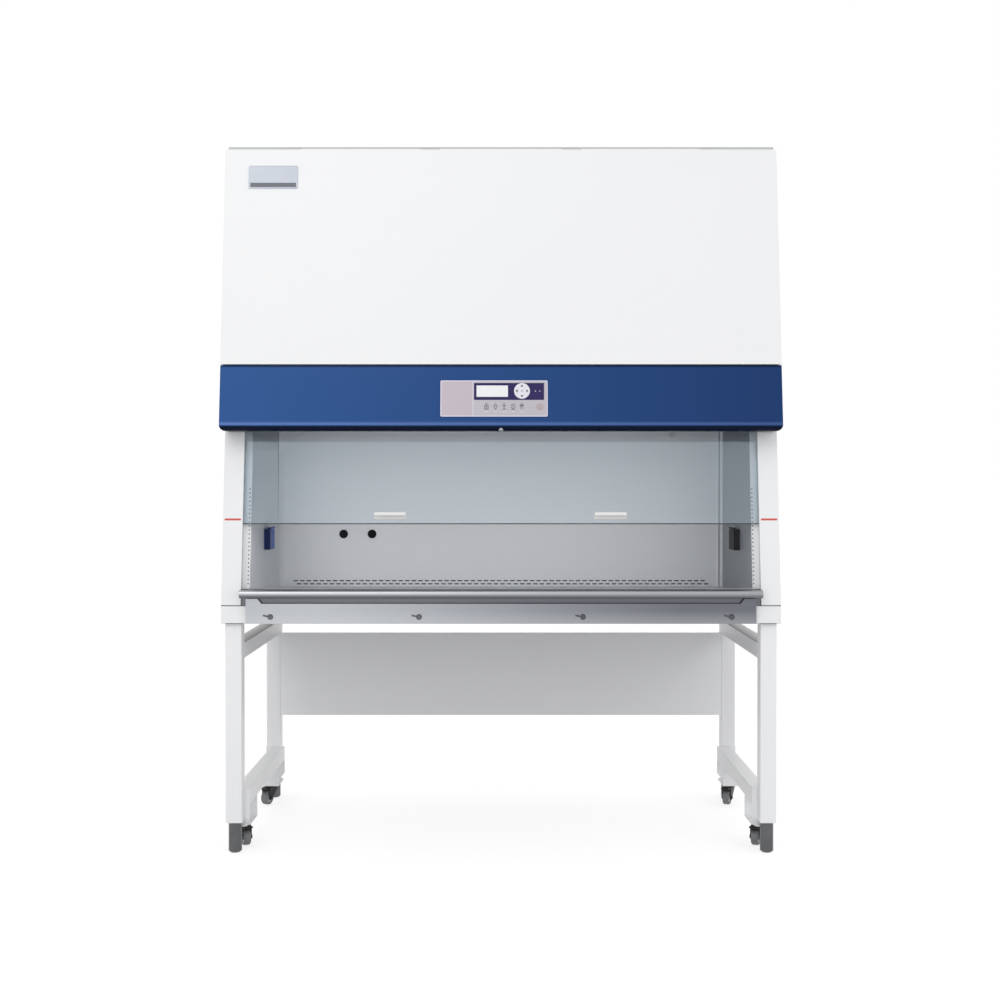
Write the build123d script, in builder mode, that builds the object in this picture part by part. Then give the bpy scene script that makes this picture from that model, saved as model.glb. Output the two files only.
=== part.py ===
from build123d import *
import os
from math import cos, radians, sin, tan

os.makedirs("parts", exist_ok=True)

# Biosafety cabinet on an open stand. Millimetres, X to the right, Y to the back, Z up.
# The origin is on the floor under the middle of the cabinet.

# Overall form
width = 1700.0              # over the two side panels
body_depth = 790.0          # foot of the sloped face to the back of the rear panel
armrest_reach = 45.0        # armrest in front of the foot of the sloped face
tilt = 7.5                  # degrees that the front leans back
stand_top_z = 704.0         # underside of the cabinet
sill_z = 758.0              # top of the base frame, foot of the side panels
hood_bottom_z = 1287.0
fascia_top_z = 1487.0
body_top_z = 2161.0
roof_height = 18.0
hood_depth = 95.0           # hood's face in front of the pillars' face
column_width = 60.0         # pillar each side of the opening
sheet = 2.0                 # painted sheet steel
liner_sheet = 1.5           # stainless sheet
seam = 0.3                  # gap between pieces that fit closely
running = 0.05              # radial clearance of a pin or shaft in its hole

# Stand
leg_size = 50.0
leg_inset = 10.0            # leg's outer face inside the side panel's face
leg_setback = 12.0          # front leg's face behind the foot of the sloped face
rear_leg_setback = 13.0     # rear leg's face in front of the rear panel
leg_bottom_z = 93.0
tube_wall = 2.5
end_plate = 8.0
upper_rail_drop = 64.0      # top of the upper rail below the stand's top
upper_rail_size = 50.0
lower_rail_z = 138.0
lower_rail_size = 49.0
lower_rail_shift = 15.0     # lower rail stands this far inboard of the legs
cross_panel_z = 299.0
cross_panel_height = 294.0
cross_panel_lip = 20.0

# Levelling feet
foot_radius = 20.5
foot_chamfer = 5.0
foot_stem_radius = 8.0
foot_stem_length = 60.0

# Casters and their brackets
bracket_thick = 3.0
bracket_z = 72.0            # underside of the plate that a caster hangs from
bracket_reach = 128.0       # from the leg's face along the rail
bracket_corner = (15.0, 20.0)
caster_setback = 95.0       # swivel axis from the leg's middle
caster_inset = 7.0          # swivel axis inboard of the leg's middle
caster_headings = {"fl": 25.0, "fr": -25.0, "rl": -25.0, "rr": -25.0}
caster_plate_size = (52.0, 60.0, 3.0)
caster_bolt_inset = 6.0     # bolt circle's corners inside the plate's edges
caster_bearing_radius = 19.0
caster_bolt_radius = 4.0
caster_bolt_head = 2.5
kingpin_radius = 5.0
crown_z = 58.0
crown_thick = 4.0
crown_radius = 17.0
wheel_radius = 25.0
wheel_width = 22.0
wheel_lift = 2.0            # the feet carry the cabinet, the wheels clear the floor
tyre_depth = 7.0
caster_trail = 30.0
fork_gap = 27.0
fork_plate = 2.5
fork_boss_radius = 9.0
axle_radius = 4.0
axle_head_radius = 6.5
axle_head = 3.0
pedal_x = 36.0
pedal_z = 57.5
pedal_hub_radius = 4.0
pedal_pin_radius = 2.0
pedal_tip = (62.0, 62.5)
pedal_tip_radius = 2.5
brake_shoe = (43.0, 54.5)
brake_shoe_radius = 3.0

# Base frame, apron and armrest
side_beam_width = 77.0
cross_beam_depth = 30.0
rear_beam_depth = 50.0
floor_sheet = 3.0
apron_reach = 12.0          # apron's face in front of the foot of the sloped face
apron_top_z = 780.0
apron_notch_depth = 15.0
apron_notch_inset = 48.0    # notch's end inside the apron's end
apron_notch_slant = 12.0
apron_screw_inset = 75.0    # outer screws inside the apron's ends
apron_screw_inner = 248.0   # inner screws either side of the middle
apron_screw_z = 725.0
screw_radius = 4.0
screw_head_radius = 8.5
screw_head_height = 4.0
screw_wing = (15.0, 5.0)
screw_wing_angle = 12.0
screw_grip = 22.0
armrest_gap = 3.0           # armrest's end to the pillar
armrest_height = 25.0
armrest_rise = 50.0         # armrest's top above the base frame
armrest_round = 12.0
armrest_ledge = 14.0        # ledge behind the roll that the grille lies on

# Work chamber
liner_inset = 20.0          # liner's side wall inboard of the pillar
chamber_depth = 603.0       # foot of the sloped face to the back wall
chamber_corner = 20.0
chamber_top_z = 1430.0
liner_bottom_z = 712.0
worktop_z = 770.0
flange_back = 34.0          # liner's front flange behind the pillars' face
slot_length = 16.0
slot_height = 4.0
slot_pitch = 22.9
slot_margin = 58.0          # no slot nearer than this to the side walls
slot_rows_z = (790.0, 779.0)
edge_hole_radius = 1.5
edge_hole_pitch = 12.6
edge_hole_top_z = 1118.0
edge_hole_bottom_z = 812.0
edge_hole_setback = 12.0    # behind the liner's flange
low_hole_radius = 2.0
low_hole_pitch = 16.0
low_hole_end = 200.0        # last hole at least this far in front of the back wall
low_hole_z = 815.0
low_hole_start = 95.0
tray_front = 112.0          # work tray's front edge behind the foot of the sloped face
tray_skirt = 20.0
tray_gap = 1.7
tray_corner = 22.0
pan_ledge = 15.0
grille_land = 38.0
grille_drop_z = 770.0
grille_slot = (5.0, 26.0)
grille_slot_pitch = 24.0
grille_slot_margin = 36.0
diffuser_lip = 22.0
diffuser_hole_radius = 5.0
diffuser_hole_pitch = 60.0
diffuser_hole_margin = 55.0

# Sash and its drive
glass_thick = 6.0
glass_back = 20.0           # glass behind the pillars' face
glass_grip = 12.0           # how far each guide holds the glass's edge
glass_length = 560.0
sash_bottom_z = 1004.0
pull_size = (97.0, 20.0)
pull_reach = 18.0
pull_thick = 3.0
pull_x = (-340.0, 336.0)
pull_rise = 25.0            # pull's lower edge above the glass's edge
guide_setback = 2.0         # guide's inner edge behind the pillar's edge
guide_width = 20.0
guide_start = 50.0
guide_end = 1110.0
felt_gap = 0.3
top_rail_height = 30.0
top_rail_cover = 20.0
top_rail_back = (16.0, 30.0)
arm_thick = 4.0
clamp_gap = 4.0             # clamp outboard of the guide
clamp_width = 20.0
clamp_back = (21.0, 33.0)
belt_inset = 4.0            # belt's edge inside the clamp's
belt_thick = 2.0
belt_radius = 11.46         # pitch radius of the pulleys
belt_rear_back = 29.0       # middle of the belt's rear run behind the pillars' face
shaft_radius = 6.0
shaft_slope = 1150.0        # drive shaft up the slope from the sill
idler_slope = 540.0
idler_pin_radius = 4.0
pulley_flange = (13.0, 1.0)
bearing_block = (16.0, 40.0)
gearbox_inset = 90.0        # gearbox inboard of the pillar
gearbox_length = 60.0
gearbox_height = 60.0
motor_radius = 24.0
motor_length = 110.0

# Hood and controls
hood_sheet = 1.5
hood_gap = 1.0              # hood's rear edge to the pillars' face
roof_lip = 45.0             # roof's front edge behind the hood's face
hinge_pin_radius = 2.5
hinge_barrel_radius = 5.0
hinge_offset = 6.0          # hinge axis in front of the roof and above the hood
hinge_inset = 200.0         # outer fixed barrels inside the roof's ends
hinge_inner = 220.0         # inner ones either side of the middle
hinge_barrel_length = 60.0
fascia_wall = 3.0
fascia_round = 18.0
fascia_gap = 3.0            # joint between fascia and white cover
fascia_slit = 22.0          # fascia's floor ends this far in front of the pillars' face
plate_width = 324.0
plate_height = 111.0
plate_thick = 3.5
plate_x = -21.0
plate_z = 1385.0
plate_corner = 4.0
window_corner = (101.3, 7.9)     # window's upper left corner in the plate
window_size = (211.7, 52.3)
window_depth = 0.8
pad_place = (246.3, 32.7)        # from the plate's upper left corner
pad_radius = 24.0
power_place = (300.0, 80.0)
power_radius = 9.5
key_thick = 4.0
key_lift = 1.5              # gap under a key
lock_radius = 7.0
lock_reach = 4.0
lock_depth = 22.0

# Air handling
deck_z = 1544.0
deck_sheet = 2.0
deck_back = 40.0
filter_wall = 12.0
supply_filter_inset = 8.0   # filter's frame inside the liner's side wall
supply_filter_y = (150.0, 600.0)
plenum_back = 52.0
plenum_depth = 640.0
plenum_inset = 4.0          # plenum's side inboard of the pillar
plenum_drop = 105.0         # plenum's top below the side panels' top
exhaust_filter_x = 380.0
exhaust_filter_y = (240.0, 620.0)
exhaust_filter_height = 92.0
inlet_share = 0.75          # inlet's radius to the fan's
inlet_flange = 40.0
inlet_length = 44.0
fan_share = 0.390625        # fan's radius to the room between deck and plenum top
fan_plate = 4.0
fan_depth = 122.0
blade_thick = 3.0
blade_count = 7
blade_lean = 38.0
fan_hub_share = 0.15        # hub's radius to the fan's
fan_rail_height = 30.0      # rails that the motor's foot stands on
fan_shaft_share = 0.04
fan_motor_share = 0.31      # motor's radius to the fan's
fan_motor_gap = 18.0        # motor behind the fan's backplate
fan_motor_length = 70.0
fan_foot_width = 110.0
exhaust_slot = (60.0, 12.0)
exhaust_slot_pitch = (72.0, 28.0)
exhaust_slot_margin = 52.0  # no slot nearer than this to the filter's edges

# Fittings
outlet_size = (90.0, 67.0, 15.0)
outlet_z = 947.0
outlet_left = 335.0         # middle of the outlet behind the foot of the sloped face
outlet_right = 300.0
lid_thick = 4.0
lid_pin_radius = 1.5
lid_barrel_radius = 3.0
outlet_rim = 10.0           # recess inside the outlet box's shorter sides
plug_inset = (222.0, 321.0)     # plugs from the left side wall
plug_z = 953.0
plug_radius = 15.0
plug_reach = 5.0
plug_stem_radius = 8.0
plug_stem_length = 12.0
sensor_inset = 177.0        # sensor from the right side wall
sensor_z = 1296.0
sensor_radius = 4.0
sensor_reach = 30.0
lamp_radius = 13.0
lamp_length = 1200.0
lamp_back = -45.0
lamp_slope = 620.0
batten_height = 40.0
batten_depth = 12.0
lamp_holder = 20.0
uv_radius = 8.0
uv_length = 900.0
uv_z = 1375.0
uv_stand_off = 30.0
unit_inset = 10.0           # power unit inboard of the pillar
unit_width = 300.0
unit_depth = 120.0
unit_drop = 11.0            # unit's top below the side panels' top
unit_height = 88.0
mains_inset = 130.0         # mains inlet from the unit's outer side
mains_rise = 38.0           # and above its underside
mains_size = (30.0, 22.0)
mains_depth = 20.0

# Places worked out from the sizes above
lean = radians(tilt)
front_y = (armrest_reach - body_depth) / 2      # Y of the sloped face at the sill
rear_y = front_y + body_depth
leg_x = width / 2 - leg_inset - leg_size / 2
front_leg_y = front_y + leg_setback + leg_size / 2
rear_leg_y = rear_y - rear_leg_setback - leg_size / 2
lower_rail_x = leg_x - lower_rail_shift
upper_rail_z = stand_top_z - upper_rail_drop - upper_rail_size
axle_z = wheel_radius + wheel_lift
beam_x = width / 2 - side_beam_width
column_x = width / 2 - column_width
armrest_x = column_x - armrest_gap
armrest_top_z = sill_z + armrest_rise
apron_screw_x = (apron_screw_inset - beam_x, -apron_screw_inner, apron_screw_inner, beam_x - apron_screw_inset)
chamber_x = column_x - liner_inset
back_wall_y = front_y + chamber_depth
pan_rim_z = worktop_z - tray_skirt
pulley_back = belt_rear_back - belt_radius
pulley_radius = belt_radius - belt_thick / 2 - seam
guide_inner = column_x + guide_setback
glass_side = guide_inner + glass_grip
clamp_start = guide_inner + guide_width + clamp_gap
clamp_x = (clamp_start, clamp_start + clamp_width)
belt_x = (clamp_x[0] + belt_inset, clamp_x[1] - belt_inset)
gearbox_x = (column_x - gearbox_inset - gearbox_length, column_x - gearbox_inset)
hinge_fixed_x = (hinge_inset - width / 2, -hinge_inner, hinge_inner, width / 2 - hinge_inset)
supply_filter_x = chamber_x - supply_filter_inset
plenum_x = column_x - plenum_inset
plenum_top_z = body_top_z - plenum_drop
fan_z = (deck_z + plenum_top_z) / 2
fan_radius = fan_share * (plenum_top_z - deck_z)
inlet_radius = inlet_share * fan_radius
fan_motor_radius = fan_motor_share * fan_radius
fan_hub_radius = fan_hub_share * fan_radius
fan_shaft_radius = fan_shaft_share * fan_radius
plug_x = [inset - chamber_x for inset in plug_inset]
sensor_x = chamber_x - sensor_inset
unit_x = (column_x - unit_inset - unit_width, column_x - unit_inset)
unit_z = (body_top_z - unit_drop - unit_height, body_top_z - unit_drop)
mains_x = unit_x[1] - mains_inset
mains_z = unit_z[0] + mains_rise
corners = {"fl": (-1, front_leg_y, 1), "fr": (1, front_leg_y, 1),
           "rl": (-1, rear_leg_y, -1), "rr": (1, rear_leg_y, -1)}


def face_y(z, back=0.0):
    """Y at height z of the plane that lies `back` behind the pillars' sloped face."""
    return front_y + (z - sill_z) * tan(lean) + back / cos(lean)


def up_slope(z, back=0.0):
    """Distance up the slope of the point at height z that lies `back` behind the sloped face."""
    return (z - sill_z + back * sin(lean)) / cos(lean)


def slope_plane(back=0.0):
    """Plane along the sloped face and `back` behind it: local x is X, local y runs up the slope."""
    origin = (0, front_y + back * cos(lean), sill_z - back * sin(lean))
    return Plane(origin=origin, x_dir=(1, 0, 0), z_dir=(0, -cos(lean), sin(lean)))


def slope_side(x):
    """Upright plane across the slope at x: local x runs up the slope, local y forward out of it."""
    return Plane(origin=(x, front_y, sill_z), x_dir=(0, sin(lean), cos(lean)), z_dir=(1, 0, 0))


def box(low, high, mode=Mode.ADD):
    """A block between two corners in the cabinet's own directions."""
    with Locations(tuple((a + b) / 2 for a, b in zip(low, high))):
        Box(*[b - a for a, b in zip(low, high)], mode=mode)


def slope_box(x, slope, back, mode=Mode.ADD):
    """A block along the slope: its range in X, up the slope and behind the sloped face."""
    with BuildSketch(slope_plane(back[0])) as face:
        with Locations(((x[0] + x[1]) / 2, (slope[0] + slope[1]) / 2)):
            Rectangle(x[1] - x[0], slope[1] - slope[0])
    extrude(face.sketch, amount=back[0] - back[1], mode=mode)


def coved(half_width, y_range, z_range, corner, mode=Mode.ADD):
    """A block whose two rear corners are rounded like the liner's."""
    with BuildSketch(Plane.XY.offset(z_range[0])) as plan:
        with Locations((0, (y_range[0] + y_range[1]) / 2)):
            Rectangle(2 * half_width, y_range[1] - y_range[0])
        fillet(plan.vertices().group_by(Axis.Y)[-1], corner)
    extrude(plan.sketch, amount=z_range[1] - z_range[0], mode=mode)


def row_count(length, margin, pitch):
    """How many holes of that pitch go in a row that keeps the margin from both its ends."""
    return 1 + int((length - 2 * margin) / pitch)


def both_sides(x):
    """The range x on the right and its mirror image on the left."""
    return [(x[0], x[1]), (-x[1], -x[0])]


def cross_rod(x, slope, back, radius, mode=Mode.ADD):
    """A rod along X at a place given by its distance up the slope and behind the face."""
    with BuildSketch(slope_side(x[0])) as end:
        with Locations((slope, -back)):
            Circle(radius)
    extrude(end.sketch, amount=x[1] - x[0], mode=mode)


def save_group(pieces, name):
    """Write several solids that touch but stay separate as one node."""
    group = Compound(children=[piece.part for piece in pieces])
    group.label = name
    export_step(group, f"parts/{name}.step")


# Stand: two welded side frames of square tube and a folded panel between the rear legs
def stand_leg(x, y):
    """A square leg with a thick end plate, drilled for the levelling foot's stem."""
    with BuildPart() as leg:
        with BuildSketch(Plane.XY.offset(leg_bottom_z)):
            with Locations((x, y)):
                RectangleRounded(leg_size, leg_size, tube_wall + 1)
        extrude(amount=stand_top_z - leg_bottom_z)
        with BuildSketch(Plane.XY.offset(leg_bottom_z + end_plate)):
            with Locations((x, y)):
                Rectangle(leg_size - 2 * tube_wall, leg_size - 2 * tube_wall)
        extrude(amount=stand_top_z - leg_bottom_z - 2 * end_plate, mode=Mode.SUBTRACT)
        with BuildSketch(Plane.XY.offset(leg_bottom_z)):
            with Locations((x, y)):
                Circle(foot_stem_radius + running)
        extrude(amount=end_plate, mode=Mode.SUBTRACT)
    return leg


def stand_rail(x, z, size, end_gap):
    """A square rail along Y between the two legs of one side."""
    start = front_leg_y + leg_size / 2 + end_gap
    with BuildPart() as rail:
        with BuildSketch(Plane.XZ.offset(-start)):
            with Locations((x, z + size / 2)):
                RectangleRounded(size, size, tube_wall + 1)
                Rectangle(size - 2 * tube_wall, size - 2 * tube_wall, mode=Mode.SUBTRACT)
        extrude(amount=-(rear_leg_y - leg_size / 2 - end_gap - start))
    return rail


for side, name in ((-1, "stand_frame_left"), (1, "stand_frame_right")):
    save_group([stand_leg(side * leg_x, front_leg_y),
                stand_leg(side * leg_x, rear_leg_y),
                stand_rail(side * leg_x, upper_rail_z, upper_rail_size, 0),
                stand_rail(side * lower_rail_x, lower_rail_z, lower_rail_size, bracket_thick)], name)

with BuildPart() as rear_cross_panel:
    panel_x = leg_x - leg_size / 2
    panel_y = rear_leg_y - leg_size / 2
    panel_top_z = cross_panel_z + cross_panel_height
    box((-panel_x, panel_y, cross_panel_z), (panel_x, panel_y + cross_panel_lip, panel_top_z))
    box((-panel_x + sheet, panel_y + sheet, cross_panel_z + sheet),
        (panel_x - sheet, panel_y + cross_panel_lip, panel_top_z - sheet), mode=Mode.SUBTRACT)
rear_cross_panel.part.label = "rear_cross_panel"
export_step(rear_cross_panel.part, "parts/rear_cross_panel.step")


# Levelling feet: a turned cylinder on a stem that screws into the leg's end plate
for corner, (side, leg_y, inward) in corners.items():
    with BuildPart() as foot:
        with BuildSketch(Plane.XY):
            with Locations((side * leg_x, leg_y)):
                Circle(foot_radius)
        extrude(amount=leg_bottom_z)
        chamfer(foot.edges().group_by(Axis.Z)[0], foot_chamfer)
        with BuildSketch(Plane.XY.offset(leg_bottom_z)):
            with Locations((side * leg_x, leg_y)):
                Circle(foot_stem_radius)
        extrude(amount=foot_stem_length)
    foot.part.label = f"foot_{corner}"
    export_step(foot.part, f"parts/foot_{corner}.step")


# Caster brackets: a bent plate on the leg's face, with a stay under the lower rail
def caster_bracket(side, leg_y, inward):
    """The bent plate's inner corner at the fold is cut off."""
    near_y = leg_y + inward * leg_size / 2
    plate_in = lower_rail_x - lower_rail_size / 2
    plate_out = leg_x + leg_size / 2 + 1
    rail_top = lower_rail_z + lower_rail_size
    with BuildPart() as bracket:
        with BuildSketch(Plane.XZ.offset(-near_y)):
            Polygon((side * plate_in, rail_top), (side * plate_out, rail_top), (side * plate_out, bracket_z),
                    (side * (plate_in + bracket_corner[0]), bracket_z),
                    (side * plate_in, bracket_z + bracket_corner[1]), align=None)
        extrude(amount=-inward * bracket_thick)
        stay_y = near_y + inward * bracket_reach
        with BuildSketch(Plane.XY.offset(bracket_z)):
            Polygon((side * (plate_in + bracket_corner[0]), near_y), (side * plate_out, near_y),
                    (side * plate_out, stay_y), (side * plate_in, stay_y),
                    (side * plate_in, near_y + inward * bracket_corner[1]), align=None)
        extrude(amount=bracket_thick)
        y_range = sorted((stay_y, stay_y - inward * bracket_thick))
        x_range = sorted((side * plate_in, side * (lower_rail_x + lower_rail_size / 2)))
        box((x_range[0], y_range[0], bracket_z), (x_range[1], y_range[1], lower_rail_z))
    return bracket


save_group([caster_bracket(*place) for place in corners.values()], "caster_brackets")


# Casters: top plate with its swivel bearing, fork with axle, wheel, and a brake pedal
def caster_plate(x, y):
    """Bolted plate with the swivel bearing under it."""
    wide, deep, thick = caster_plate_size
    with BuildPart() as plate:
        with BuildSketch(Plane.XY.offset(bracket_z - thick)):
            with Locations((x, y)):
                RectangleRounded(wide, deep, 4)
        extrude(amount=thick)
        bearing_z = crown_z + crown_thick + seam
        with BuildSketch(Plane.XY.offset(bearing_z)):
            with Locations((x, y)):
                Circle(caster_bearing_radius)
        extrude(amount=bracket_z - thick - bearing_z)
        with BuildSketch(Plane.XY.offset(bracket_z - thick - caster_bolt_head)):
            with Locations((x, y)):
                with GridLocations(wide - 2 * caster_bolt_inset, deep - 2 * caster_bolt_inset, 2, 2):
                    Circle(caster_bolt_radius)
        extrude(amount=caster_bolt_head)
        with BuildSketch(Plane.XY.offset(bearing_z)):
            with Locations((x, y)):
                Circle(kingpin_radius + running)
        extrude(amount=bracket_z - bearing_z, mode=Mode.SUBTRACT)
    return plate


def caster_moving_parts(corner, x, y, heading):
    """Fork, wheel and brake pedal of one caster, with the wheel trailing towards its heading."""
    away = (sin(radians(heading)), -cos(radians(heading)), 0)
    level = Plane(origin=(x, y, 0), x_dir=away, z_dir=(0, 0, 1))
    upright = Plane(origin=(x, y, 0), x_dir=away, z_dir=(-level.y_dir.X, -level.y_dir.Y, 0))
    axle = (caster_trail, axle_z)
    pedal = (pedal_x, pedal_z)
    fork_side = fork_gap / 2 + fork_plate

    with BuildPart() as fork:
        with BuildSketch(upright):
            with Locations(axle):
                Circle(fork_boss_radius)
            with Locations(pedal):
                Circle(pedal_hub_radius)
            with Locations((0, crown_z + crown_thick / 2)):
                Rectangle(2 * crown_radius - 4, crown_thick)
            make_hull()
        extrude(amount=fork_side, both=True)
        with BuildSketch(upright):
            with Locations((caster_trail, crown_z / 2)):
                Rectangle(4 * wheel_radius, crown_z)
            with Locations((crown_radius + caster_trail, crown_z)):
                Rectangle(2 * caster_trail, 2 * crown_radius)
        extrude(amount=fork_gap / 2, both=True, mode=Mode.SUBTRACT)
        with BuildSketch(level.offset(crown_z)):
            Circle(crown_radius)
        extrude(amount=crown_thick)
        with BuildSketch(level.offset(crown_z)):
            Circle(kingpin_radius)
        extrude(amount=bracket_z - 1 - crown_z)
        with BuildSketch(upright):
            with Locations(axle):
                Circle(axle_radius + running)
        extrude(amount=fork_side, both=True, mode=Mode.SUBTRACT)
        with BuildSketch(upright):
            with Locations(pedal):
                Circle(pedal_pin_radius)
        extrude(amount=fork_side, both=True)

    with BuildPart() as axle_bolt:
        with BuildSketch(upright):
            with Locations(axle):
                Circle(axle_radius)
        extrude(amount=fork_side + axle_head, both=True)
        for face_side in (-1, 1):
            with BuildSketch(upright.offset(face_side * fork_side)):
                with Locations(axle):
                    RegularPolygon(axle_head_radius, 6)
            extrude(amount=face_side * axle_head)
    save_group([fork, axle_bolt], f"caster_fork_{corner}")

    with BuildPart() as tyre:
        with BuildSketch(upright):
            with Locations(axle):
                Circle(wheel_radius)
        extrude(amount=wheel_width / 2, both=True)
        fillet(tyre.edges().filter_by(GeomType.CIRCLE), tyre_depth / 2)
        with BuildSketch(upright):
            with Locations(axle):
                Circle(wheel_radius - tyre_depth)
        extrude(amount=wheel_width / 2, both=True, mode=Mode.SUBTRACT)
    with BuildPart() as hub:
        with BuildSketch(upright):
            with Locations(axle):
                Circle(wheel_radius - tyre_depth)
        extrude(amount=wheel_width / 2 - 1, both=True)
        with BuildSketch(upright):
            with Locations(axle):
                Circle(2 * axle_radius)
        extrude(amount=fork_gap / 2 - seam, both=True)
        with BuildSketch(upright):
            with Locations(axle):
                Circle(axle_radius + running)
        extrude(amount=fork_gap / 2, both=True, mode=Mode.SUBTRACT)
    save_group([tyre, hub], f"caster_wheel_{corner}")

    with BuildPart() as brake:
        with BuildSketch(upright):
            with Locations(pedal):
                Circle(pedal_hub_radius)
            with Locations(pedal_tip):
                Circle(pedal_tip_radius)
            make_hull()
            with Locations(brake_shoe):
                Circle(brake_shoe_radius)
            with Locations(pedal):
                Circle(pedal_pin_radius + running, mode=Mode.SUBTRACT)
        extrude(amount=fork_gap / 2 - seam, both=True)
    brake.part.label = f"caster_brake_{corner}"
    export_step(brake.part, f"parts/caster_brake_{corner}.step")


caster_plates = []
for corner, (side, leg_y, inward) in corners.items():
    swivel_y = leg_y + inward * caster_setback
    swivel_x = side * (leg_x - caster_inset)
    caster_plates.append(caster_plate(swivel_x, swivel_y))
    caster_moving_parts(corner, swivel_x, swivel_y, caster_headings[corner])
save_group(caster_plates, "caster_plates")


# Base frame: box beams under the side panels, cross beams front and rear, and a floor sheet
def hollow_beam(low, high):
    """A closed box beam of painted sheet."""
    with BuildPart() as beam:
        box(low, high)
        box([a + sheet for a in low], [b - sheet for b in high], mode=Mode.SUBTRACT)
    return beam


with BuildPart() as front_beam:
    box((-beam_x, front_y, stand_top_z), (beam_x, front_y + cross_beam_depth, sill_z))
    box((-beam_x + sheet, front_y + sheet, stand_top_z + sheet),
        (beam_x - sheet, front_y + cross_beam_depth - sheet, sill_z - sheet), mode=Mode.SUBTRACT)
    with BuildSketch(Plane.XZ.offset(-front_y)):
        with Locations([(x, apron_screw_z) for x in apron_screw_x]):
            Circle(screw_radius + running)
    extrude(amount=-sheet, mode=Mode.SUBTRACT)
with BuildPart() as floor_plate:
    box((-beam_x, front_y + cross_beam_depth, stand_top_z),
        (beam_x, rear_y - rear_beam_depth, stand_top_z + floor_sheet))
save_group([hollow_beam((beam_x, front_y, stand_top_z), (width / 2, rear_y, sill_z)),
            hollow_beam((-width / 2, front_y, stand_top_z), (-beam_x, rear_y, sill_z)),
            hollow_beam((-beam_x, rear_y - rear_beam_depth, stand_top_z), (beam_x, rear_y, sill_z)),
            front_beam, floor_plate], "base_frame")


# Side panels: a skin with a pillar folded round the front, and a stud for the lower belt pulley
def side_outline(inset):
    """The side panel's shape seen from the side, drawn in by `inset` all round."""
    low = sill_z + inset
    high = body_top_z - inset
    return [(face_y(low, inset), low), (rear_y - inset, low),
            (rear_y - inset, high), (face_y(high, inset), high)]


for side, name in ((-1, "side_panel_left"), (1, "side_panel_right")):
    with BuildPart() as side_panel:
        with BuildSketch(Plane.YZ.offset(side * width / 2)):
            Polygon(*side_outline(0), align=None)
        extrude(amount=-side * column_width)
        with BuildSketch(Plane.YZ.offset(side * (width / 2 - sheet))):
            Polygon(*side_outline(sheet), align=None)
        extrude(amount=-side * column_width, mode=Mode.SUBTRACT)
        with BuildSketch(slope_side(side * (width / 2 - sheet))):
            with Locations((idler_slope, -pulley_back)):
                Circle(idler_pin_radius)
        extrude(amount=-side * (width / 2 - sheet - clamp_x[0]))
    side_panel.part.label = name
    export_step(side_panel.part, f"parts/{name}.step")

# Rear panel, let in between the side panels' rear folds, with a cut-out for the power inlet
with BuildPart() as rear_panel:
    panel_half = column_x - seam
    box((-panel_half, rear_y - sheet, sill_z), (panel_half, rear_y, body_top_z))
    box((mains_x - mains_size[0] / 2 - seam, rear_y - sheet, mains_z - mains_size[1] / 2 - seam),
        (mains_x + mains_size[0] / 2 + seam, rear_y, mains_z + mains_size[1] / 2 + seam),
        mode=Mode.SUBTRACT)
rear_panel.part.label = "rear_panel"
export_step(rear_panel.part, "parts/rear_panel.step")

# Roof: a shallow cover with the exhaust louvres, and the fixed half of the hood's hinge
roof_front_y = face_y(body_top_z, -hood_depth) + roof_lip
hinge_y = roof_front_y - hinge_offset
hinge_z = body_top_z + hinge_offset
roof_top_z = body_top_z + roof_height
exhaust_y = front_y + sum(exhaust_filter_y) / 2
exhaust_long = exhaust_filter_y[1] - exhaust_filter_y[0]
with BuildPart() as roof_panel:
    box((-width / 2, roof_front_y, body_top_z), (width / 2, rear_y, roof_top_z))
    box((-width / 2 + sheet, roof_front_y + sheet, body_top_z),
        (width / 2 - sheet, rear_y - sheet, roof_top_z - sheet), mode=Mode.SUBTRACT)
    with BuildSketch(Plane.XY.offset(roof_top_z)):
        with Locations((0, exhaust_y)):
            with GridLocations(*exhaust_slot_pitch,
                               row_count(2 * exhaust_filter_x, exhaust_slot_margin, exhaust_slot_pitch[0]),
                               row_count(exhaust_long, exhaust_slot_margin, exhaust_slot_pitch[1])):
                SlotOverall(*exhaust_slot)
    extrude(amount=-sheet, mode=Mode.SUBTRACT)
    for lug_x in hinge_fixed_x:
        start = lug_x - hinge_barrel_length / 2
        with BuildSketch(Plane.YZ.offset(start)):
            with Locations((hinge_y, hinge_z)):
                Circle(hinge_barrel_radius)
            with Locations((hinge_y + hinge_offset / 2, hinge_z)):
                Rectangle(hinge_offset, hinge_barrel_radius)
        extrude(amount=hinge_barrel_length)
    pin_end = hinge_fixed_x[-1]
    with BuildSketch(Plane.YZ.offset(-pin_end)):
        with Locations((hinge_y, hinge_z)):
            Circle(hinge_pin_radius)
    extrude(amount=2 * pin_end)
roof_panel.part.label = "roof_panel"
export_step(roof_panel.part, "parts/roof_panel.step")


# Sheets shared by the liner, the pan and the tray
def flat_sheet(low, high):
    """One flat sheet between two corners."""
    with BuildPart() as piece:
        box(low, high)
    return piece


def rolled_corner(side, half_width, rear, corner, z_range):
    """The upright sheet rolled to a quarter circle at one rear corner."""
    with BuildPart() as piece:
        with BuildSketch(Plane.XY.offset(z_range[0])):
            with Locations((side * (half_width - corner), rear - corner)):
                Circle(corner)
                Circle(corner - liner_sheet, mode=Mode.SUBTRACT)
                Rectangle(corner, corner, align=(Align.MIN if side > 0 else Align.MAX, Align.MIN),
                          mode=Mode.INTERSECT)
        extrude(amount=z_range[1] - z_range[0])
    return piece


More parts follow.
